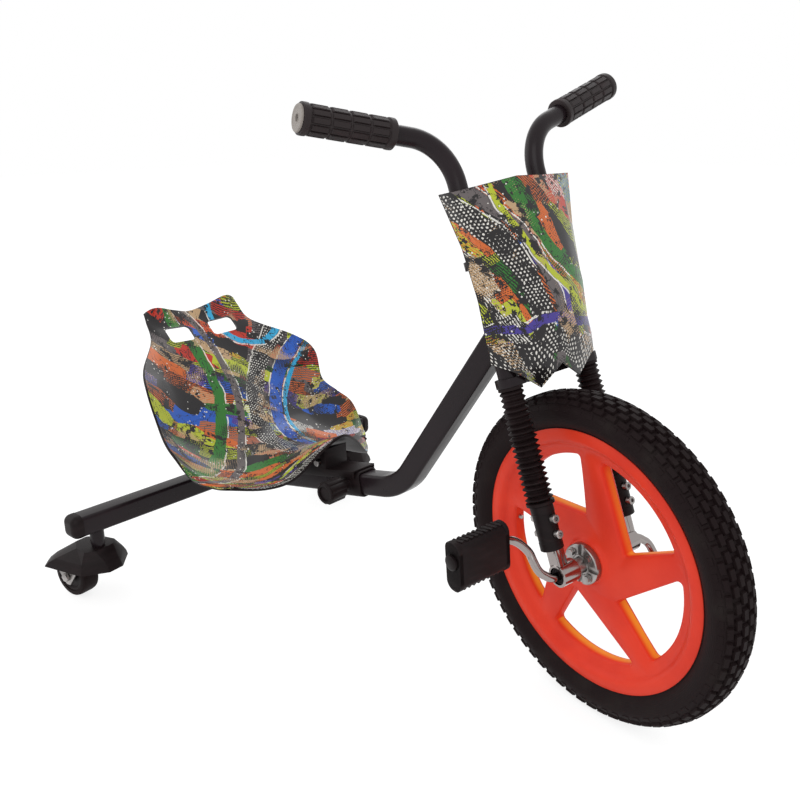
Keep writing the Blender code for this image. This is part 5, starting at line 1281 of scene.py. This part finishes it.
class TRIKE_OT_grips(bpy.types.Operator):
    """Makes the rubber grips with their pads and the discs in their ends"""
    bl_idname = "trike.grips"
    bl_label = "Grips"

    def execute(self, context):
        pads = stud_ring_tree("grip_rubber")
        for side in (-1, 1):
            label = side_name(side)
            reach = bar_reach(side)
            place = FRONT @ axes_at(bar_corner(side), reach.cross(UP), reach)
            end = reach.length
            start = end - GRIP_LENGTH
            core = lathe([(0.0114, start), (0.0158, start), (0.0168, start + 0.0008),
                          (0.0170, start + 0.0040), (0.0168, start + 0.0068), (0.0155, start + 0.0080),
                          (0.0148, start + 0.0086), (0.0146, start + 0.0100), (0.0146, end - 0.0100),
                          (0.0148, end - 0.0086), (0.0158, end - 0.0080), (0.0168, end - 0.0072),
                          (0.0170, end - 0.0040), (0.0168, end - 0.0008), (0.0160, end),
                          (0.0114, end)], 64, True)
            pieces = [core]
            count = context.scene.trike_fork.pads
            for band in range(GRIP_BANDS):
                along = start + GRIP_BAND_START + band * GRIP_BAND_PITCH
                pieces.append(pads.grown(None, {
                    "Count": count, "Radius": 0.0149, "Along": along, "Height": 0.0013, "Taper": 0.86,
                    "Width": 0.0200, "Length": 2 * pi * 0.0150 / count * 0.80, "Phase": 0.0}))
            settle(joined(pieces), "rubber_grip_" + label, "steering", ["grip_" + label], "grip_rubber",
                   place, 40)
            top = end + 0.0028
            plug = lathe([(0, top - 0.006), (0.0036, top - 0.006), (0.0040, top - 0.0004),
                          (0.0046, top), (0.0052, top), (0.0056, top - 0.0004), (0.0112, top - 0.0004),
                          (0.0118, top), (0.0138, top), (0.0145, top - 0.0008), (0.0145, end + 0.0003),
                          (0.0088, end + 0.0003), (0.0088, end - 0.0120), (0, end - 0.0120)], 56)
            settle(plug, "grip_disc_" + label, "steering", ["grip_plug_" + label], "grey_plastic",
                   place)
        return {"FINISHED"}


def printed_shell(grid, steps, thickness, edge, finishes):
    """A moulded shell from half a grid of rows: black behind, printed in front."""
    rows = [[Vector((x, -y, z)) for x, y, z in row[:0:-1]] + [Vector(point) for point in row]
            for row in grid]
    if steps > 1:
        rows = [smooth_path(row, steps) for row in rows]
        columns = [smooth_path(list(column), steps) for column in zip(*rows)]
        rows = [list(row) for row in zip(*columns)]
    width = len(rows[0])
    middle = width // 2
    form = bmesh.new()
    verts = [[form.verts.new(point) for point in row] for row in rows]
    layer = form.loops.layers.uv.new("print")
    marks = {}
    down = 0.0
    for i, row in enumerate(rows):
        if i:
            down += (row[middle] - rows[i - 1][middle]).length
        for j in range(width):
            step = 1 if j > middle else -1
            across = 0.0
            for k in range(middle, j, step):
                across += (row[k + step] - row[k]).length
            marks[verts[i][j]] = (across * step if j != middle else 0.0, down)
    for i in range(len(rows) - 1):
        for j in range(width - 1):
            face = form.faces.new((verts[i][j], verts[i + 1][j], verts[i + 1][j + 1],
                                   verts[i][j + 1]))
            for loop in face.loops:
                loop[layer].uv = marks[loop.vert]
    mesh = bpy.data.meshes.new("shell")
    form.to_mesh(mesh)
    form.free()
    for name in finishes:
        mesh.materials.append(material(name))
    thing = object_of(mesh)
    thick = thing.modifiers.new("thickness", "SOLIDIFY")
    thick.thickness = thickness
    thick.offset = 1.0
    thick.use_even_offset = True
    thick.material_offset = 1
    thick.material_offset_rim = 1
    round_edge = thing.modifiers.new("edges", "BEVEL")
    round_edge.width = edge
    round_edge.segments = 3
    round_edge.material = 1
    round_edge.limit_method = "ANGLE"
    round_edge.angle_limit = radians(50)
    return plain(thing)


# Half of the fairing in rows from the top down, each from the middle to the left edge
FAIRING_GRID = [
    [(-0.121, 0, 0.635), (-0.128, 0.050, 0.630), (-0.132, 0.075, 0.628), (-0.138, 0.097, 0.626)],
    [(-0.090, 0, 0.570), (-0.096, 0.046, 0.568), (-0.105, 0.066, 0.568), (-0.119, 0.084, 0.569)],
    [(-0.062, 0, 0.509), (-0.072, 0.042, 0.508), (-0.083, 0.063, 0.510), (-0.101, 0.079, 0.512)],
    [(-0.054, 0, 0.467), (-0.061, 0.036, 0.461), (-0.074, 0.062, 0.466), (-0.092, 0.078, 0.471)],
    [(-0.053, 0, 0.432), (-0.056, 0.030, 0.409), (-0.062, 0.059, 0.431), (-0.083, 0.079, 0.442)],
]


class TRIKE_OT_fairing(bpy.types.Operator):
    """Makes the printed fairing in front of the handlebar"""
    bl_idname = "trike.fairing"
    bl_label = "Fairing"

    def execute(self, context):
        finishes = ["fairing_print", "black_plastic"]
        shell = printed_shell(FAIRING_GRID, 1, FAIRING_THICKNESS, 0.0005, finishes)
        settle(shell, "printed_fairing", "steering", ["fairing"], finishes, FRONT, 40)
        return {"FINISHED"}


class TRIKE_OT_tyre(bpy.types.Operator):
    """Makes the tyre's casing and its rows of tread blocks"""
    bl_idname = "trike.tyre"
    bl_label = "Tyre"

    def execute(self, context):
        looks = context.scene.trike_tyre
        half = [(0.1530, 0.0138), (0.1600, 0.0162), (0.1635, 0.0172), (0.1665, 0.0205),
                (0.1710, 0.0238), (0.1765, 0.0258), (0.1820, 0.0260), (0.1875, 0.0249),
                (0.1920, 0.0222), (0.1955, 0.0178), (0.1978, 0.0120), (0.1991, 0.0055), (0.1994, 0.0)]
        outside = half + [(r, -w) for r, w in half[-2::-1]]
        inside = [(0.1530, -0.0095), (0.1800, -0.0215), (0.1930, -0.0120), (0.1945, 0),
                  (0.1930, 0.0120), (0.1800, 0.0215), (0.1530, 0.0095)]
        casing = lathe(outside + inside, 160, True)
        blocks = stud_ring_tree("tyre_rubber")
        count = looks.repeats
        tall = looks.block_height
        step = 2 * pi / count
        arc = 2 * pi * 0.2 / count
        rows = []
        for sign in (-1, 1):
            shift = step / 4 * sign
            rows.append((sign * 0.0042, 0.1995, 0.03 * sign, 0.0072, arc * 0.78, tall, shift))
            rows.append((sign * 0.0122, 0.1977, 0.26 * sign, 0.0070, arc * 0.76, tall, -shift))
            rows.append((sign * 0.0193, 0.1940, 0.66 * sign, 0.0066, arc * 0.80, tall, shift))
            rows.append((sign * 0.0234, 0.1875, 1.15 * sign, 0.0060, arc * 0.55, tall * 0.5, -shift))
        pieces = [casing]
        for along, radius, tilt, wide, long, high, phase in rows:
            pieces.append(blocks.grown(None, {
                "Count": count, "Radius": radius - 0.0002, "Along": along, "Tilt": tilt, "Width": wide,
                "Length": long, "Height": high, "Taper": 0.80, "Phase": phase}))
        settle(joined(pieces), "knobby_tyre", "front_wheel", ["front_tyre"], "tyre_rubber",
               axle_axes(), 30)
        return {"FINISHED"}


def polar(radius, angle):
    return (radius * cos(angle), radius * sin(angle))


def between(first, second, count):
    """Points inside a straight run, without its ends."""
    start = Vector(first)
    return [tuple(start.lerp(Vector(second), (i + 1) / (count + 1))) for i in range(count)]


class TRIKE_OT_wheel(bpy.types.Operator):
    """Makes the moulded front wheel with its five creased spokes, and the valve"""
    bl_idname = "trike.wheel"
    bl_label = "Front wheel"

    def execute(self, context):
        face = FRONT @ axes_at(AXLE, AHEAD, -LEFT)
        side = [(RIDGE_OUTER, RIM_TOP), (0.1440, 0.0148), (0.1478, 0.0180), (0.1500, 0.0185),
                (0.1606, 0.0185), (0.1620, 0.0178), (0.1620, 0.0164), (0.1612, 0.0159),
                (0.1530, 0.0146), (0.1510, 0.0100)]
        rim = lathe(side + [(r, -w) for r, w in side[::-1]], 160)
        rim.data.transform(Matrix.Rotation(RIDGE_END, 4, "Z"))
        hub_side = [(RIDGE_INNER, HUB_TOP), (0.0285, 0.0140), (0.0275, 0.0160), (0.0262, 0.0170),
                    (0.0054, 0.0170)]
        hub = lathe(hub_side + [(r, -w) for r, w in hub_side[::-1]], 60)
        hub.data.transform(Matrix.Rotation(RIDGE_START, 4, "Z"))
        sectors = spread_tree("red_plastic").grown(self.sector(), {"Count": 5})
        wheel = joined([rim, hub, sectors])
        form = bmesh.new()
        form.from_mesh(wheel.data)
        bpy.data.objects.remove(wheel, do_unlink=True)
        bmesh.ops.remove_doubles(form, verts=form.verts, dist=0.00002)
        settle(from_form(form), "moulded_wheel", "front_wheel", ["wheel_rim", "wheel_spokes"],
               ["red_plastic", "red_window_wall"], face, 50)
        self.make_valve()
        return {"FINISHED"}

    def sector(self):
        """A fifth of the wheel's middle: one window, and half a spoke on each side of it."""
        turns = [WINDOW_START + (WINDOW_END - WINDOW_START) * i / 24 for i in range(25)]
        corners = [polar(WINDOW_INNER, WINDOW_START)] + [polar(WINDOW_OUTER, a) for a in turns]
        line = rounded(corners, [0.003, 0.0052] + [0] * 23 + [0.0052], [12, 4] + [1] * 23 + [4])
        window = (line[:13] + between(line[12], line[13], 12)
                  + line[13:] + between(line[-1], line[0], 12))
        turn = 2 * pi / 5
        hub_arc = [polar(RIDGE_INNER, RIDGE_START - turn * i / 12) for i in range(13)]
        rim_arc = [polar(RIDGE_OUTER, RIDGE_END - turn + turn * i / 32) for i in range(33)]
        bound = (hub_arc + between(hub_arc[-1], rim_arc[0], 12)
                 + rim_arc + between(rim_arc[-1], hub_arc[0], 12))
        form = bmesh.new()
        loops = []
        for face in (1, -1):
            for step, height in WINDOW_EDGE:
                loops.append([self.raised(form, here, there, step, face * height)
                              for here, there in zip(window, bound)])
            for share in (0.5, 1.0):
                loops.append([self.ridged(form, here, there, share, face)
                              for here, there in zip(window, bound)])
        count = len(window)
        sides = [(i, i + 1, 0) for i in range(5)] + [(i, i + 1, 0) for i in range(6, 11)]
        for low, high, finish in sides + [(0, 6, 1)]:
            first = loops[low]
            second = loops[high]
            for k in range(count):
                n = (k + 1) % count
                face = form.faces.new((first[k], first[n], second[n], second[k]))
                face.material_index = finish
        mesh = bpy.data.meshes.new("sector")
        bmesh.ops.recalc_face_normals(form, faces=form.faces)
        form.to_mesh(mesh)
        form.free()
        mesh.materials.append(material("red_plastic"))
        mesh.materials.append(material("red_window_wall"))
        return object_of(mesh)

    def raised(self, form, here, there, step, height):
        """A point a little way from the window's edge."""
        start = Vector(here)
        way = Vector(there) - start
        spot = start + way.normalized() * step
        return form.verts.new((spot.x, spot.y, height))

    def ridged(self, form, here, there, share, face):
        """A point on the slope up to the spoke's ridge, the hub or the rim."""
        start = Vector(here)
        way = Vector(there) - start
        width, low = WINDOW_EDGE[-1]
        spot = (start + way.normalized() * width).lerp(Vector(there), share)
        out = Vector(there).length
        top = RIM_TOP if out > RIDGE_OUTER - 0.0001 else SPOKE_TOP
        top += (HUB_TOP - SPOKE_TOP) * min(max((0.060 - out) / (0.060 - RIDGE_INNER), 0), 1)
        return form.verts.new((spot.x, spot.y, face * (low + (top - low) * share)))

    def make_valve(self):
        start = VALVE_START
        stem = lathe([(0, start), (0.0022, start), (0.0026, start + 0.0008), (0.0026, start + 0.0075),
                      (0.0030, start + 0.0078), (0.0030, start + 0.0110), (0.0024, start + 0.0112),
                      (0.0024, start + 0.0300), (0, start + 0.0300)], 24)
        out = Vector((cos(VALVE_ANGLE), 0, sin(VALVE_ANGLE)))
        settle(stem, "valve", "front_wheel", ["valve_stem"], "zinc", FRONT @ axes_at(AXLE, LEFT, out))


class TRIKE_OT_hub(bpy.types.Operator):
    """Makes the plated hub discs with their cross of grooves and bolts"""
    bl_idname = "trike.hub"
    bl_label = "Hub discs"

    def execute(self, context):
        studs = stud_ring_tree("zinc")
        face = HUB_FACE
        for side in (-1, 1):
            disc = lathe([(0.0054, 0.0173), (0.0240, 0.0173), (0.0250, 0.0181), (0.0250, face - 0.0010),
                          (0.0240, face), (0.0130, face), (0.0120, face - 0.0012),
                          (0.0100, face - 0.0012), (0.0095, face), (0.0095, 0.0370), (0.0088, 0.0376),
                          (0.0054, 0.0376)], 96, True)
            for turn in range(4):
                groove = plate([square(0.010, 0.0032, 0.001, 2)], face - 0.0030, face + 0.004)
                groove.data.transform(Matrix.Rotation(pi / 2 * turn, 4, "Z")
                                      @ Matrix.Translation((0.0205, 0, 0)))
                disc = cut(disc, groove)
            disc = ease_edges(disc, 0.0004, 2, 40)
            bolts = studs.grown(None, {
                "Count": 4, "Corners": 6, "Phase": pi / 4, "Radius": HUB_BOLT_CIRCLE,
                "Along": face + 0.0014, "Tilt": pi / 2, "Width": 0.0060, "Length": 0.0060,
                "Height": 0.0028, "Taper": 0.93, "Spin": 0.2})
            washers = studs.grown(None, {
                "Count": 4, "Corners": 28, "Phase": pi / 4, "Radius": HUB_BOLT_CIRCLE,
                "Along": face + 0.0003, "Tilt": pi / 2, "Width": 0.0078, "Length": 0.0078,
                "Height": 0.0010, "Taper": 0.95, "Spin": 0.0})
            label = side_name(side)
            settle(joined([disc, bolts, washers]), "hub_disc_" + label, "front_wheel",
                   ["hub_flange_" + label], "zinc", axle_axes() @ mirrored(side))
        return {"FINISHED"}


def crank_way(side):
    return Vector((cos(CRANK_ANGLE), 0, sin(CRANK_ANGLE))) * -side


class TRIKE_OT_cranks(bpy.types.Operator):
    """Makes the bent chrome rod, the pedals with their ribs and the caps"""
    bl_idname = "trike.cranks"
    bl_label = "Cranks and pedals"

    def execute(self, context):
        arms = []
        for side in (-1, 1):
            way = crank_way(side) * CRANK_LENGTH
            arms.append([AXLE + way * share + LEFT * (side * out) for share, out in CRANK_SLOPE])
        end = PEDAL_INNER + PEDAL_LENGTH + CRANK_ROD_PAST_PEDAL
        tips = [AXLE + crank_way(side) * CRANK_LENGTH + LEFT * (side * end) for side in (-1, 1)]
        line = [tips[0]] + smooth_path(arms[0], 8)[::-1] + smooth_path(arms[1], 8) + [tips[1]]
        rod = tube(line, CRANK_ROD_RADIUS, 32)
        settle(rod, "bent_crank", "front_wheel", ["crank_rod"], "chrome", FRONT, 40)
        ribs = row_tree("black_plastic")
        for side in (-1, 1):
            self.make_pedal(side, ribs)
        return {"FINISHED"}

    def make_pedal(self, side, ribs):
        label = side_name(side)
        centre = AXLE + crank_way(side) * CRANK_LENGTH
        turn = PEDAL_LEFT_TURN if side > 0 else 0.0
        place = axle_axes(centre) @ mirrored(side) @ Matrix.Rotation(turn, 4, "Z")
        half_x = PEDAL_THICKNESS / 2
        half_y = PEDAL_HEIGHT / 2
        low = PEDAL_INNER
        high = PEDAL_INNER + PEDAL_LENGTH
        shift = Matrix.Translation((0, PEDAL_DROP * side, 0))
        core = plate([square(half_x, half_y - 0.0014, 0.0100, 7)], low, high)
        pieces = [ease_edges(core, 0.0030, 4, 50)]
        for start, end in ((low, low + 0.0052), (high - 0.0052, high)):
            cheek = plate([square(half_x, half_y, 0.0105, 8)], start, end)
            pieces.append(ease_edges(cheek, 0.0022, 3, 50))
        for face in (-1, 1):
            bars = ribs.grown(None, {
                "Count": 9, "Pitch": 0.0068, "Radius": half_y - 0.0015, "Width": 0.0130,
                "Length": 0.0044, "Height": 0.0019, "Slant": 0.40 * face, "Along": low + 0.0088})
            bars.data.transform(Matrix.Rotation(face * pi / 2, 4, "Z"))
            pieces.append(bars)
        for piece in pieces:
            piece.data.transform(shift)
        boss = lathe([(0.0056, low - 0.0010), (0.0082, low - 0.0010), (0.0088, low - 0.0004),
                      (0.0088, low + 0.001), (0.0056, low + 0.001)], 40, True)
        pieces.append(boss)
        body = "pedal_" + label
        settle(joined(pieces), "ribbed_pedal_" + label, body, [body], "black_plastic", place, 32)
        start = high + 0.0004
        top = start + 0.004
        cap = lathe([(0, top), (0.0066, top), (0.0074, top - 0.0004), (0.0090, top - 0.0012),
                     (0.0090, start), (0.0056, start), (0.0056, start + 0.002), (0, start + 0.002)], 40)
        settle(cap, "pedal_end_cap_" + label, body, ["pedal_cap_" + label], "black_plastic", place)


# Half of the seat in rows from the back's top to the front edge, each from the middle to the left
SEAT_GRID = [
    [(-0.791, 0, 0.393), (-0.786, 0.035, 0.402), (-0.782, 0.066, 0.412), (-0.785, 0.080, 0.409),
     (-0.786, 0.088, 0.403)],
    [(-0.777, 0, 0.380), (-0.776, 0.035, 0.381), (-0.774, 0.066, 0.384), (-0.775, 0.083, 0.388),
     (-0.777, 0.091, 0.392)],
    [(-0.752, 0, 0.356), (-0.750, 0.036, 0.357), (-0.749, 0.068, 0.359), (-0.751, 0.088, 0.363),
     (-0.754, 0.100, 0.366)],
    [(-0.720, 0, 0.324), (-0.720, 0.050, 0.321), (-0.716, 0.095, 0.323), (-0.709, 0.128, 0.331),
     (-0.703, 0.150, 0.339)],
    [(-0.686, 0, 0.292), (-0.688, 0.055, 0.286), (-0.686, 0.107, 0.286), (-0.676, 0.143, 0.302),
     (-0.669, 0.169, 0.314)],
    [(-0.651, 0, 0.258), (-0.655, 0.056, 0.251), (-0.657, 0.108, 0.246), (-0.655, 0.145, 0.254),
     (-0.651, 0.168, 0.266)],
    [(-0.614, 0, 0.221), (-0.617, 0.056, 0.215), (-0.622, 0.110, 0.213), (-0.626, 0.150, 0.227),
     (-0.621, 0.177, 0.245)],
    [(-0.572, 0, 0.209), (-0.572, 0.050, 0.201), (-0.574, 0.100, 0.192), (-0.582, 0.145, 0.202),
     (-0.592, 0.181, 0.230)],
    [(-0.520, 0, 0.214), (-0.520, 0.045, 0.202), (-0.520, 0.090, 0.188), (-0.535, 0.135, 0.191),
     (-0.566, 0.172, 0.201)],
    [(-0.465, 0, 0.236), (-0.468, 0.038, 0.220), (-0.478, 0.078, 0.194), (-0.502, 0.118, 0.188),
     (-0.538, 0.155, 0.190)],
    [(-0.429, 0, 0.252), (-0.437, 0.034, 0.235), (-0.455, 0.074, 0.200), (-0.482, 0.106, 0.188),
     (-0.520, 0.140, 0.188)],
]


class TRIKE_OT_seat(bpy.types.Operator):
    """Makes the printed bucket seat with its hand slots"""
    bl_idname = "trike.seat"
    bl_label = "Seat"

    def execute(self, context):
        finishes = ["seat_print", "black_plastic"]
        shell = printed_shell(SEAT_GRID, 6, SEAT_THICKNESS, 0.0012, finishes)
        upper = Vector(SEAT_GRID[1][0])
        lower = Vector(SEAT_GRID[2][0])
        down = (lower - upper).normalized()
        middle = upper + (lower - upper) * ((upper.z - SLOT_HEIGHT) / (upper.z - lower.z))
        place = axes_at(middle, LEFT, down.cross(LEFT))
        for side in (-1, 1):
            slot = plate([square(SLOT_HALF_LENGTH, SLOT_HALF_WIDTH, 0.008, 8)], -0.03, 0.03)
            slot.data.transform(place @ Matrix.Translation((side * SLOT_Y, 0, 0)))
            shell = cut(shell, slot)
        settle(shell, "printed_seat", "seat", ["seat_shell"], finishes, FRAME, 40)
        return {"FINISHED"}


class TRIKE_OT_clamp(bpy.types.Operator):
    """Makes the seat's bracket, its slider, the bolt and the clamp knob"""
    bl_idname = "trike.clamp"
    bl_label = "Seat clamp"

    def execute(self, context):
        settle(refined("seat_bracket", 0.0008), "bracket", "seat", ["seat_bracket"], "black_plastic")
        settle(refined("seat_slider", 0.0008), "slider", "seat", ["seat_slider"], "black_plastic")
        middle = Vector((BRACKET_BOLT_X, 0, beam_height(BRACKET_BOLT_X) + BRACKET_BOLT_LIFT))
        place = FRAME @ axes_at(middle, AHEAD, LEFT)
        seat = 0.0225
        rest = [(0.0050, seat + 0.0052), (0.0050, seat), (0.003, seat), (0.003, -seat), (0.0050, -seat),
                (0.0050, -seat - 0.0052), (0.0043, -seat - 0.006), (0, -seat - 0.006)]
        bolt = lathe(socket_head(seat) + rest, 32)
        settle(bolt, "bracket_screw", "seat", ["seat_bracket_bolt"], "zinc", place)
        self.make_knob()
        return {"FINISHED"}

    def make_knob(self):
        start = SLIDER_OUTER + 0.011 + 0.002
        end = start + KNOB_LENGTH
        outline = []
        for angle in full_turn(14 * KNOB_FLUTES):
            wave = abs(sin(KNOB_FLUTES * angle / 2)) ** 0.6
            outline.append(polar(KNOB_ROOT_RADIUS + KNOB_FLUTE_DEPTH * wave, angle))
        body = ease_edges(plate([outline], start + 0.003, end - 0.003), 0.0006, 2, 50)
        collar = lathe([(0, start), (0.0130, start), (0.0150, start + 0.0010), (0.0156, start + 0.0034),
                        (0, start + 0.0034)], 64)
        rim = lathe([(0.0104, end - 0.005), (0.0110, end - 0.0006), (0.0120, end), (0.0140, end),
                     (0.0154, end - 0.0014), (0.0157, end - 0.0034), (0.0104, end - 0.0036)], 64, True)
        dish = lathe([(0, end - 0.0028), (0.0106, end - 0.0028), (0.0106, end - 0.0040),
                      (0, end - 0.0040)], 64)
        screw = lathe([(0, BEAM_HALF + 0.0003), (0.0034, BEAM_HALF + 0.0003),
                       (0.0040, BEAM_HALF + 0.0009), (0.0040, start + 0.001), (0, start + 0.001)], 32)
        place = axes_at(Vector((SLIDER_X, 0, beam_height(SLIDER_X))), BEAM_WAY, BEAM_UP)
        settle(joined([body, collar, rim, dish, screw]), "fluted_knob", "knob", ["clamp_knob"],
               "black_plastic", FRAME @ place @ Matrix.Rotation(pi / 2, 4, "X"), 30)


class TRIKE_OT_casters(bpy.types.Operator):
    """Makes the casters' hoods, yokes, axles and wheels"""
    bl_idname = "trike.casters"
    bl_label = "Casters"

    def execute(self, context):
        for side in (-1, 1):
            label = side_name(side)
            body = "caster_" + label
            hood = refined("caster_cover_" + label, 0.0010, 3, 18)
            settle(hood, "hood_" + label, body, ["caster_cover_" + label], "black_plastic", None, 14)
            yoke = refined("caster_yoke_" + label, 0.0004, 2, 40)
            settle(yoke, "yoke_" + label, body, ["caster_yoke_" + label], "zinc")
            self.make_wheel(side, label)
        return {"FINISHED"}

    def make_wheel(self, side, label):
        centre = Vector((REAR_X - CASTER_TRAIL, side * CASTER_Y, CASTER_RADIUS))
        place = caster_place(side) @ axes_at(centre, AHEAD, LEFT)
        seat = CASTER_PIN_SEAT
        shaft = lathe([(0, seat + 0.006), (0.0034, seat + 0.006), (0.0040, seat + 0.0054),
                       (0.0040, -seat), (0, -seat)], 32)
        pieces = [shaft]
        for low in (-seat - 0.005, seat):
            pieces.append(ease_edges(plate([circle(0.0070, 6)], low, low + 0.005), 0.0007))
        settle(joined(pieces), "caster_pin_" + label, "caster_" + label, ["caster_axle_" + label],
               "zinc", place)
        core = CASTER_CORE_RADIUS
        half = CASTER_TREAD_HALF
        tread = lathe([(core + 0.0003, half), (0.0310, half), (0.0330, half - 0.0012),
                       (0.0338, half - 0.0040), (0.0340, half - 0.0080), (0.0340, -half + 0.0080),
                       (0.0338, -half + 0.0040), (0.0330, -half + 0.0012), (0.0310, -half),
                       (core + 0.0003, -half)], 80, True)
        wheel = "caster_wheel_" + label
        settle(tread, "caster_tyre_" + label, wheel, ["caster_tread_" + label], "tyre_rubber", place)
        side_line = [(0.0045, 0.0155), (0.0080, 0.0155), (0.0088, 0.0148), (0.0090, half - 0.003),
                     (0.0200, half - 0.0036), (0.0216, half - 0.0012), (0.0240, half - 0.0008),
                     (core, half - 0.0012)]
        hub = lathe(side_line + [(r, -w) for r, w in side_line[::-1]], 64, True)
        settle(hub, "caster_core_" + label, wheel, ["caster_hub_" + label], "black_plastic", place)


class TRIKE_OT_stage(bpy.types.Operator):
    """Makes the floor, the light and the camera"""
    bl_idname = "trike.stage"
    bl_label = "Stage"

    def execute(self, context):
        scene = context.scene
        looks = scene.trike_stage
        scene.view_settings.view_transform = "Standard"
        self.make_floor(looks)
        self.make_world(scene, looks)
        self.make_light("key", (1.6, -2.2, 2.6), 2.4, looks.key)
        self.make_light("fill", (-2.4, -1.2, 1.6), 2.2, looks.key * 0.5)
        self.make_light("back", (-1.0, 2.4, 2.2), 2.0, looks.key * 0.6)
        data = bpy.data.cameras.new("photo_view")
        data.lens = LENS
        data.sensor_width = 36
        data.clip_start = 0.01
        camera = bpy.data.objects.new("photo_view", data)
        scene.collection.objects.link(camera)
        camera.matrix_world = VIEW
        scene.camera = camera
        return {"FINISHED"}

    def seen(self, net):
        """One for the camera's own rays and for those off a shine or through glass."""
        rays = net.node("ShaderNodeLightPath")
        kinds = [net.out(rays, "Is %s Ray" % kind) for kind in ("Camera", "Glossy", "Transmission")]
        return net.most(net.most(kinds[0], kinds[1]), kinds[2])

    def make_floor(self, looks):
        mesh = bpy.data.meshes.new("floor")
        mesh.from_pydata([(x, y, 0) for x, y in square(FLOOR_HALF, FLOOR_HALF, 0)], [], [(0, 1, 2, 3)])
        floor = object_of(mesh)
        floor.name = "floor"
        floor.location.z = -0.0005
        made = bpy.data.materials.new("floor_paint")
        made.use_nodes = True
        net = Net(made.node_tree)
        shader = net.tree.nodes["Principled BSDF"]
        shader.inputs["Roughness"].default_value = 0.9
        shader.inputs["Specular IOR Level"].default_value = 0.0
        shader.inputs["Base Color"].default_value = rgb(looks.floor_color)
        glow = net.node("ShaderNodeEmission", None, {"Color": (1, 1, 1, 1), "Strength": 1.3})
        mixed = net.node("ShaderNodeMixShader", None, {0: self.seen(net) * 0.62})
        net.tree.links.new(shader.outputs[0], mixed.inputs[1])
        net.tree.links.new(glow.outputs[0], mixed.inputs[2])
        net.tree.links.new(mixed.outputs[0], net.tree.nodes["Material Output"].inputs["Surface"])
        mesh.materials.append(made)

    def make_world(self, scene, looks):
        world = bpy.data.worlds.new("studio")
        scene.world = world
        world.use_nodes = True
        net = Net(world.node_tree)
        for old in list(net.tree.nodes):
            net.tree.nodes.remove(old)
        even = net.node("ShaderNodeBackground", None, {"Color": (1, 1, 1, 1), "Strength": looks.sky})
        white = net.node("ShaderNodeBackground", None, {"Color": (1, 1, 1, 1), "Strength": 1.0})
        mixed = net.node("ShaderNodeMixShader", None, {0: self.seen(net)})
        end = net.node("ShaderNodeOutputWorld")
        net.tree.links.new(even.outputs[0], mixed.inputs[1])
        net.tree.links.new(white.outputs[0], mixed.inputs[2])
        net.tree.links.new(mixed.outputs[0], end.inputs["Surface"])

    def make_light(self, name, place, size, power):
        data = bpy.data.lights.new(name, "AREA")
        data.shape = "SQUARE"
        data.size = size
        data.energy = power
        light = bpy.data.objects.new(name, data)
        bpy.context.scene.collection.objects.link(light)
        turn = (Vector(place) - Vector((0, 0, 0.3))).to_track_quat("Z", "Y")
        light.matrix_world = Matrix.Translation(place) @ turn.to_matrix().to_4x4()


OPERATORS = [TRIKE_OT_frame, TRIKE_OT_fork, TRIKE_OT_grips, TRIKE_OT_fairing, TRIKE_OT_tyre,
             TRIKE_OT_wheel, TRIKE_OT_hub, TRIKE_OT_cranks, TRIKE_OT_seat, TRIKE_OT_clamp,
             TRIKE_OT_casters, TRIKE_OT_stage]
GROUPS = {"trike_looks": TrikeLooks, "trike_tyre": TrikeTyre, "trike_fork": TrikeFork,
          "trike_stage": TrikeStage}


class TRIKE_PT_panel(bpy.types.Panel):
    """Lists the steps that dress the tricycle"""
    bl_idname = "TRIKE_PT_panel"
    bl_label = "Tricycle"
    bl_space_type = "VIEW_3D"
    bl_region_type = "UI"
    bl_category = "Tricycle"

    def draw(self, context):
        for operator in OPERATORS:
            self.layout.operator(operator.bl_idname)
        for name, group in GROUPS.items():
            for key in group.__annotations__:
                self.layout.prop(getattr(context.scene, name), key)


def register():
    for group in GROUPS.values():
        bpy.utils.register_class(group)
    for name, group in GROUPS.items():
        setattr(bpy.types.Scene, name, PointerProperty(type=group))
    for operator in OPERATORS:
        bpy.utils.register_class(operator)
    bpy.utils.register_class(TRIKE_PT_panel)


def unregister():
    bpy.utils.unregister_class(TRIKE_PT_panel)
    for operator in reversed(OPERATORS):
        bpy.utils.unregister_class(operator)
    for name in GROUPS:
        delattr(bpy.types.Scene, name)
    for group in GROUPS.values():
        bpy.utils.unregister_class(group)


def main():
    register()
    for operator in OPERATORS:
        family, name = operator.bl_idname.split(".")
        getattr(getattr(bpy.ops, family), name)()


if __name__ == "__main__":
    main()
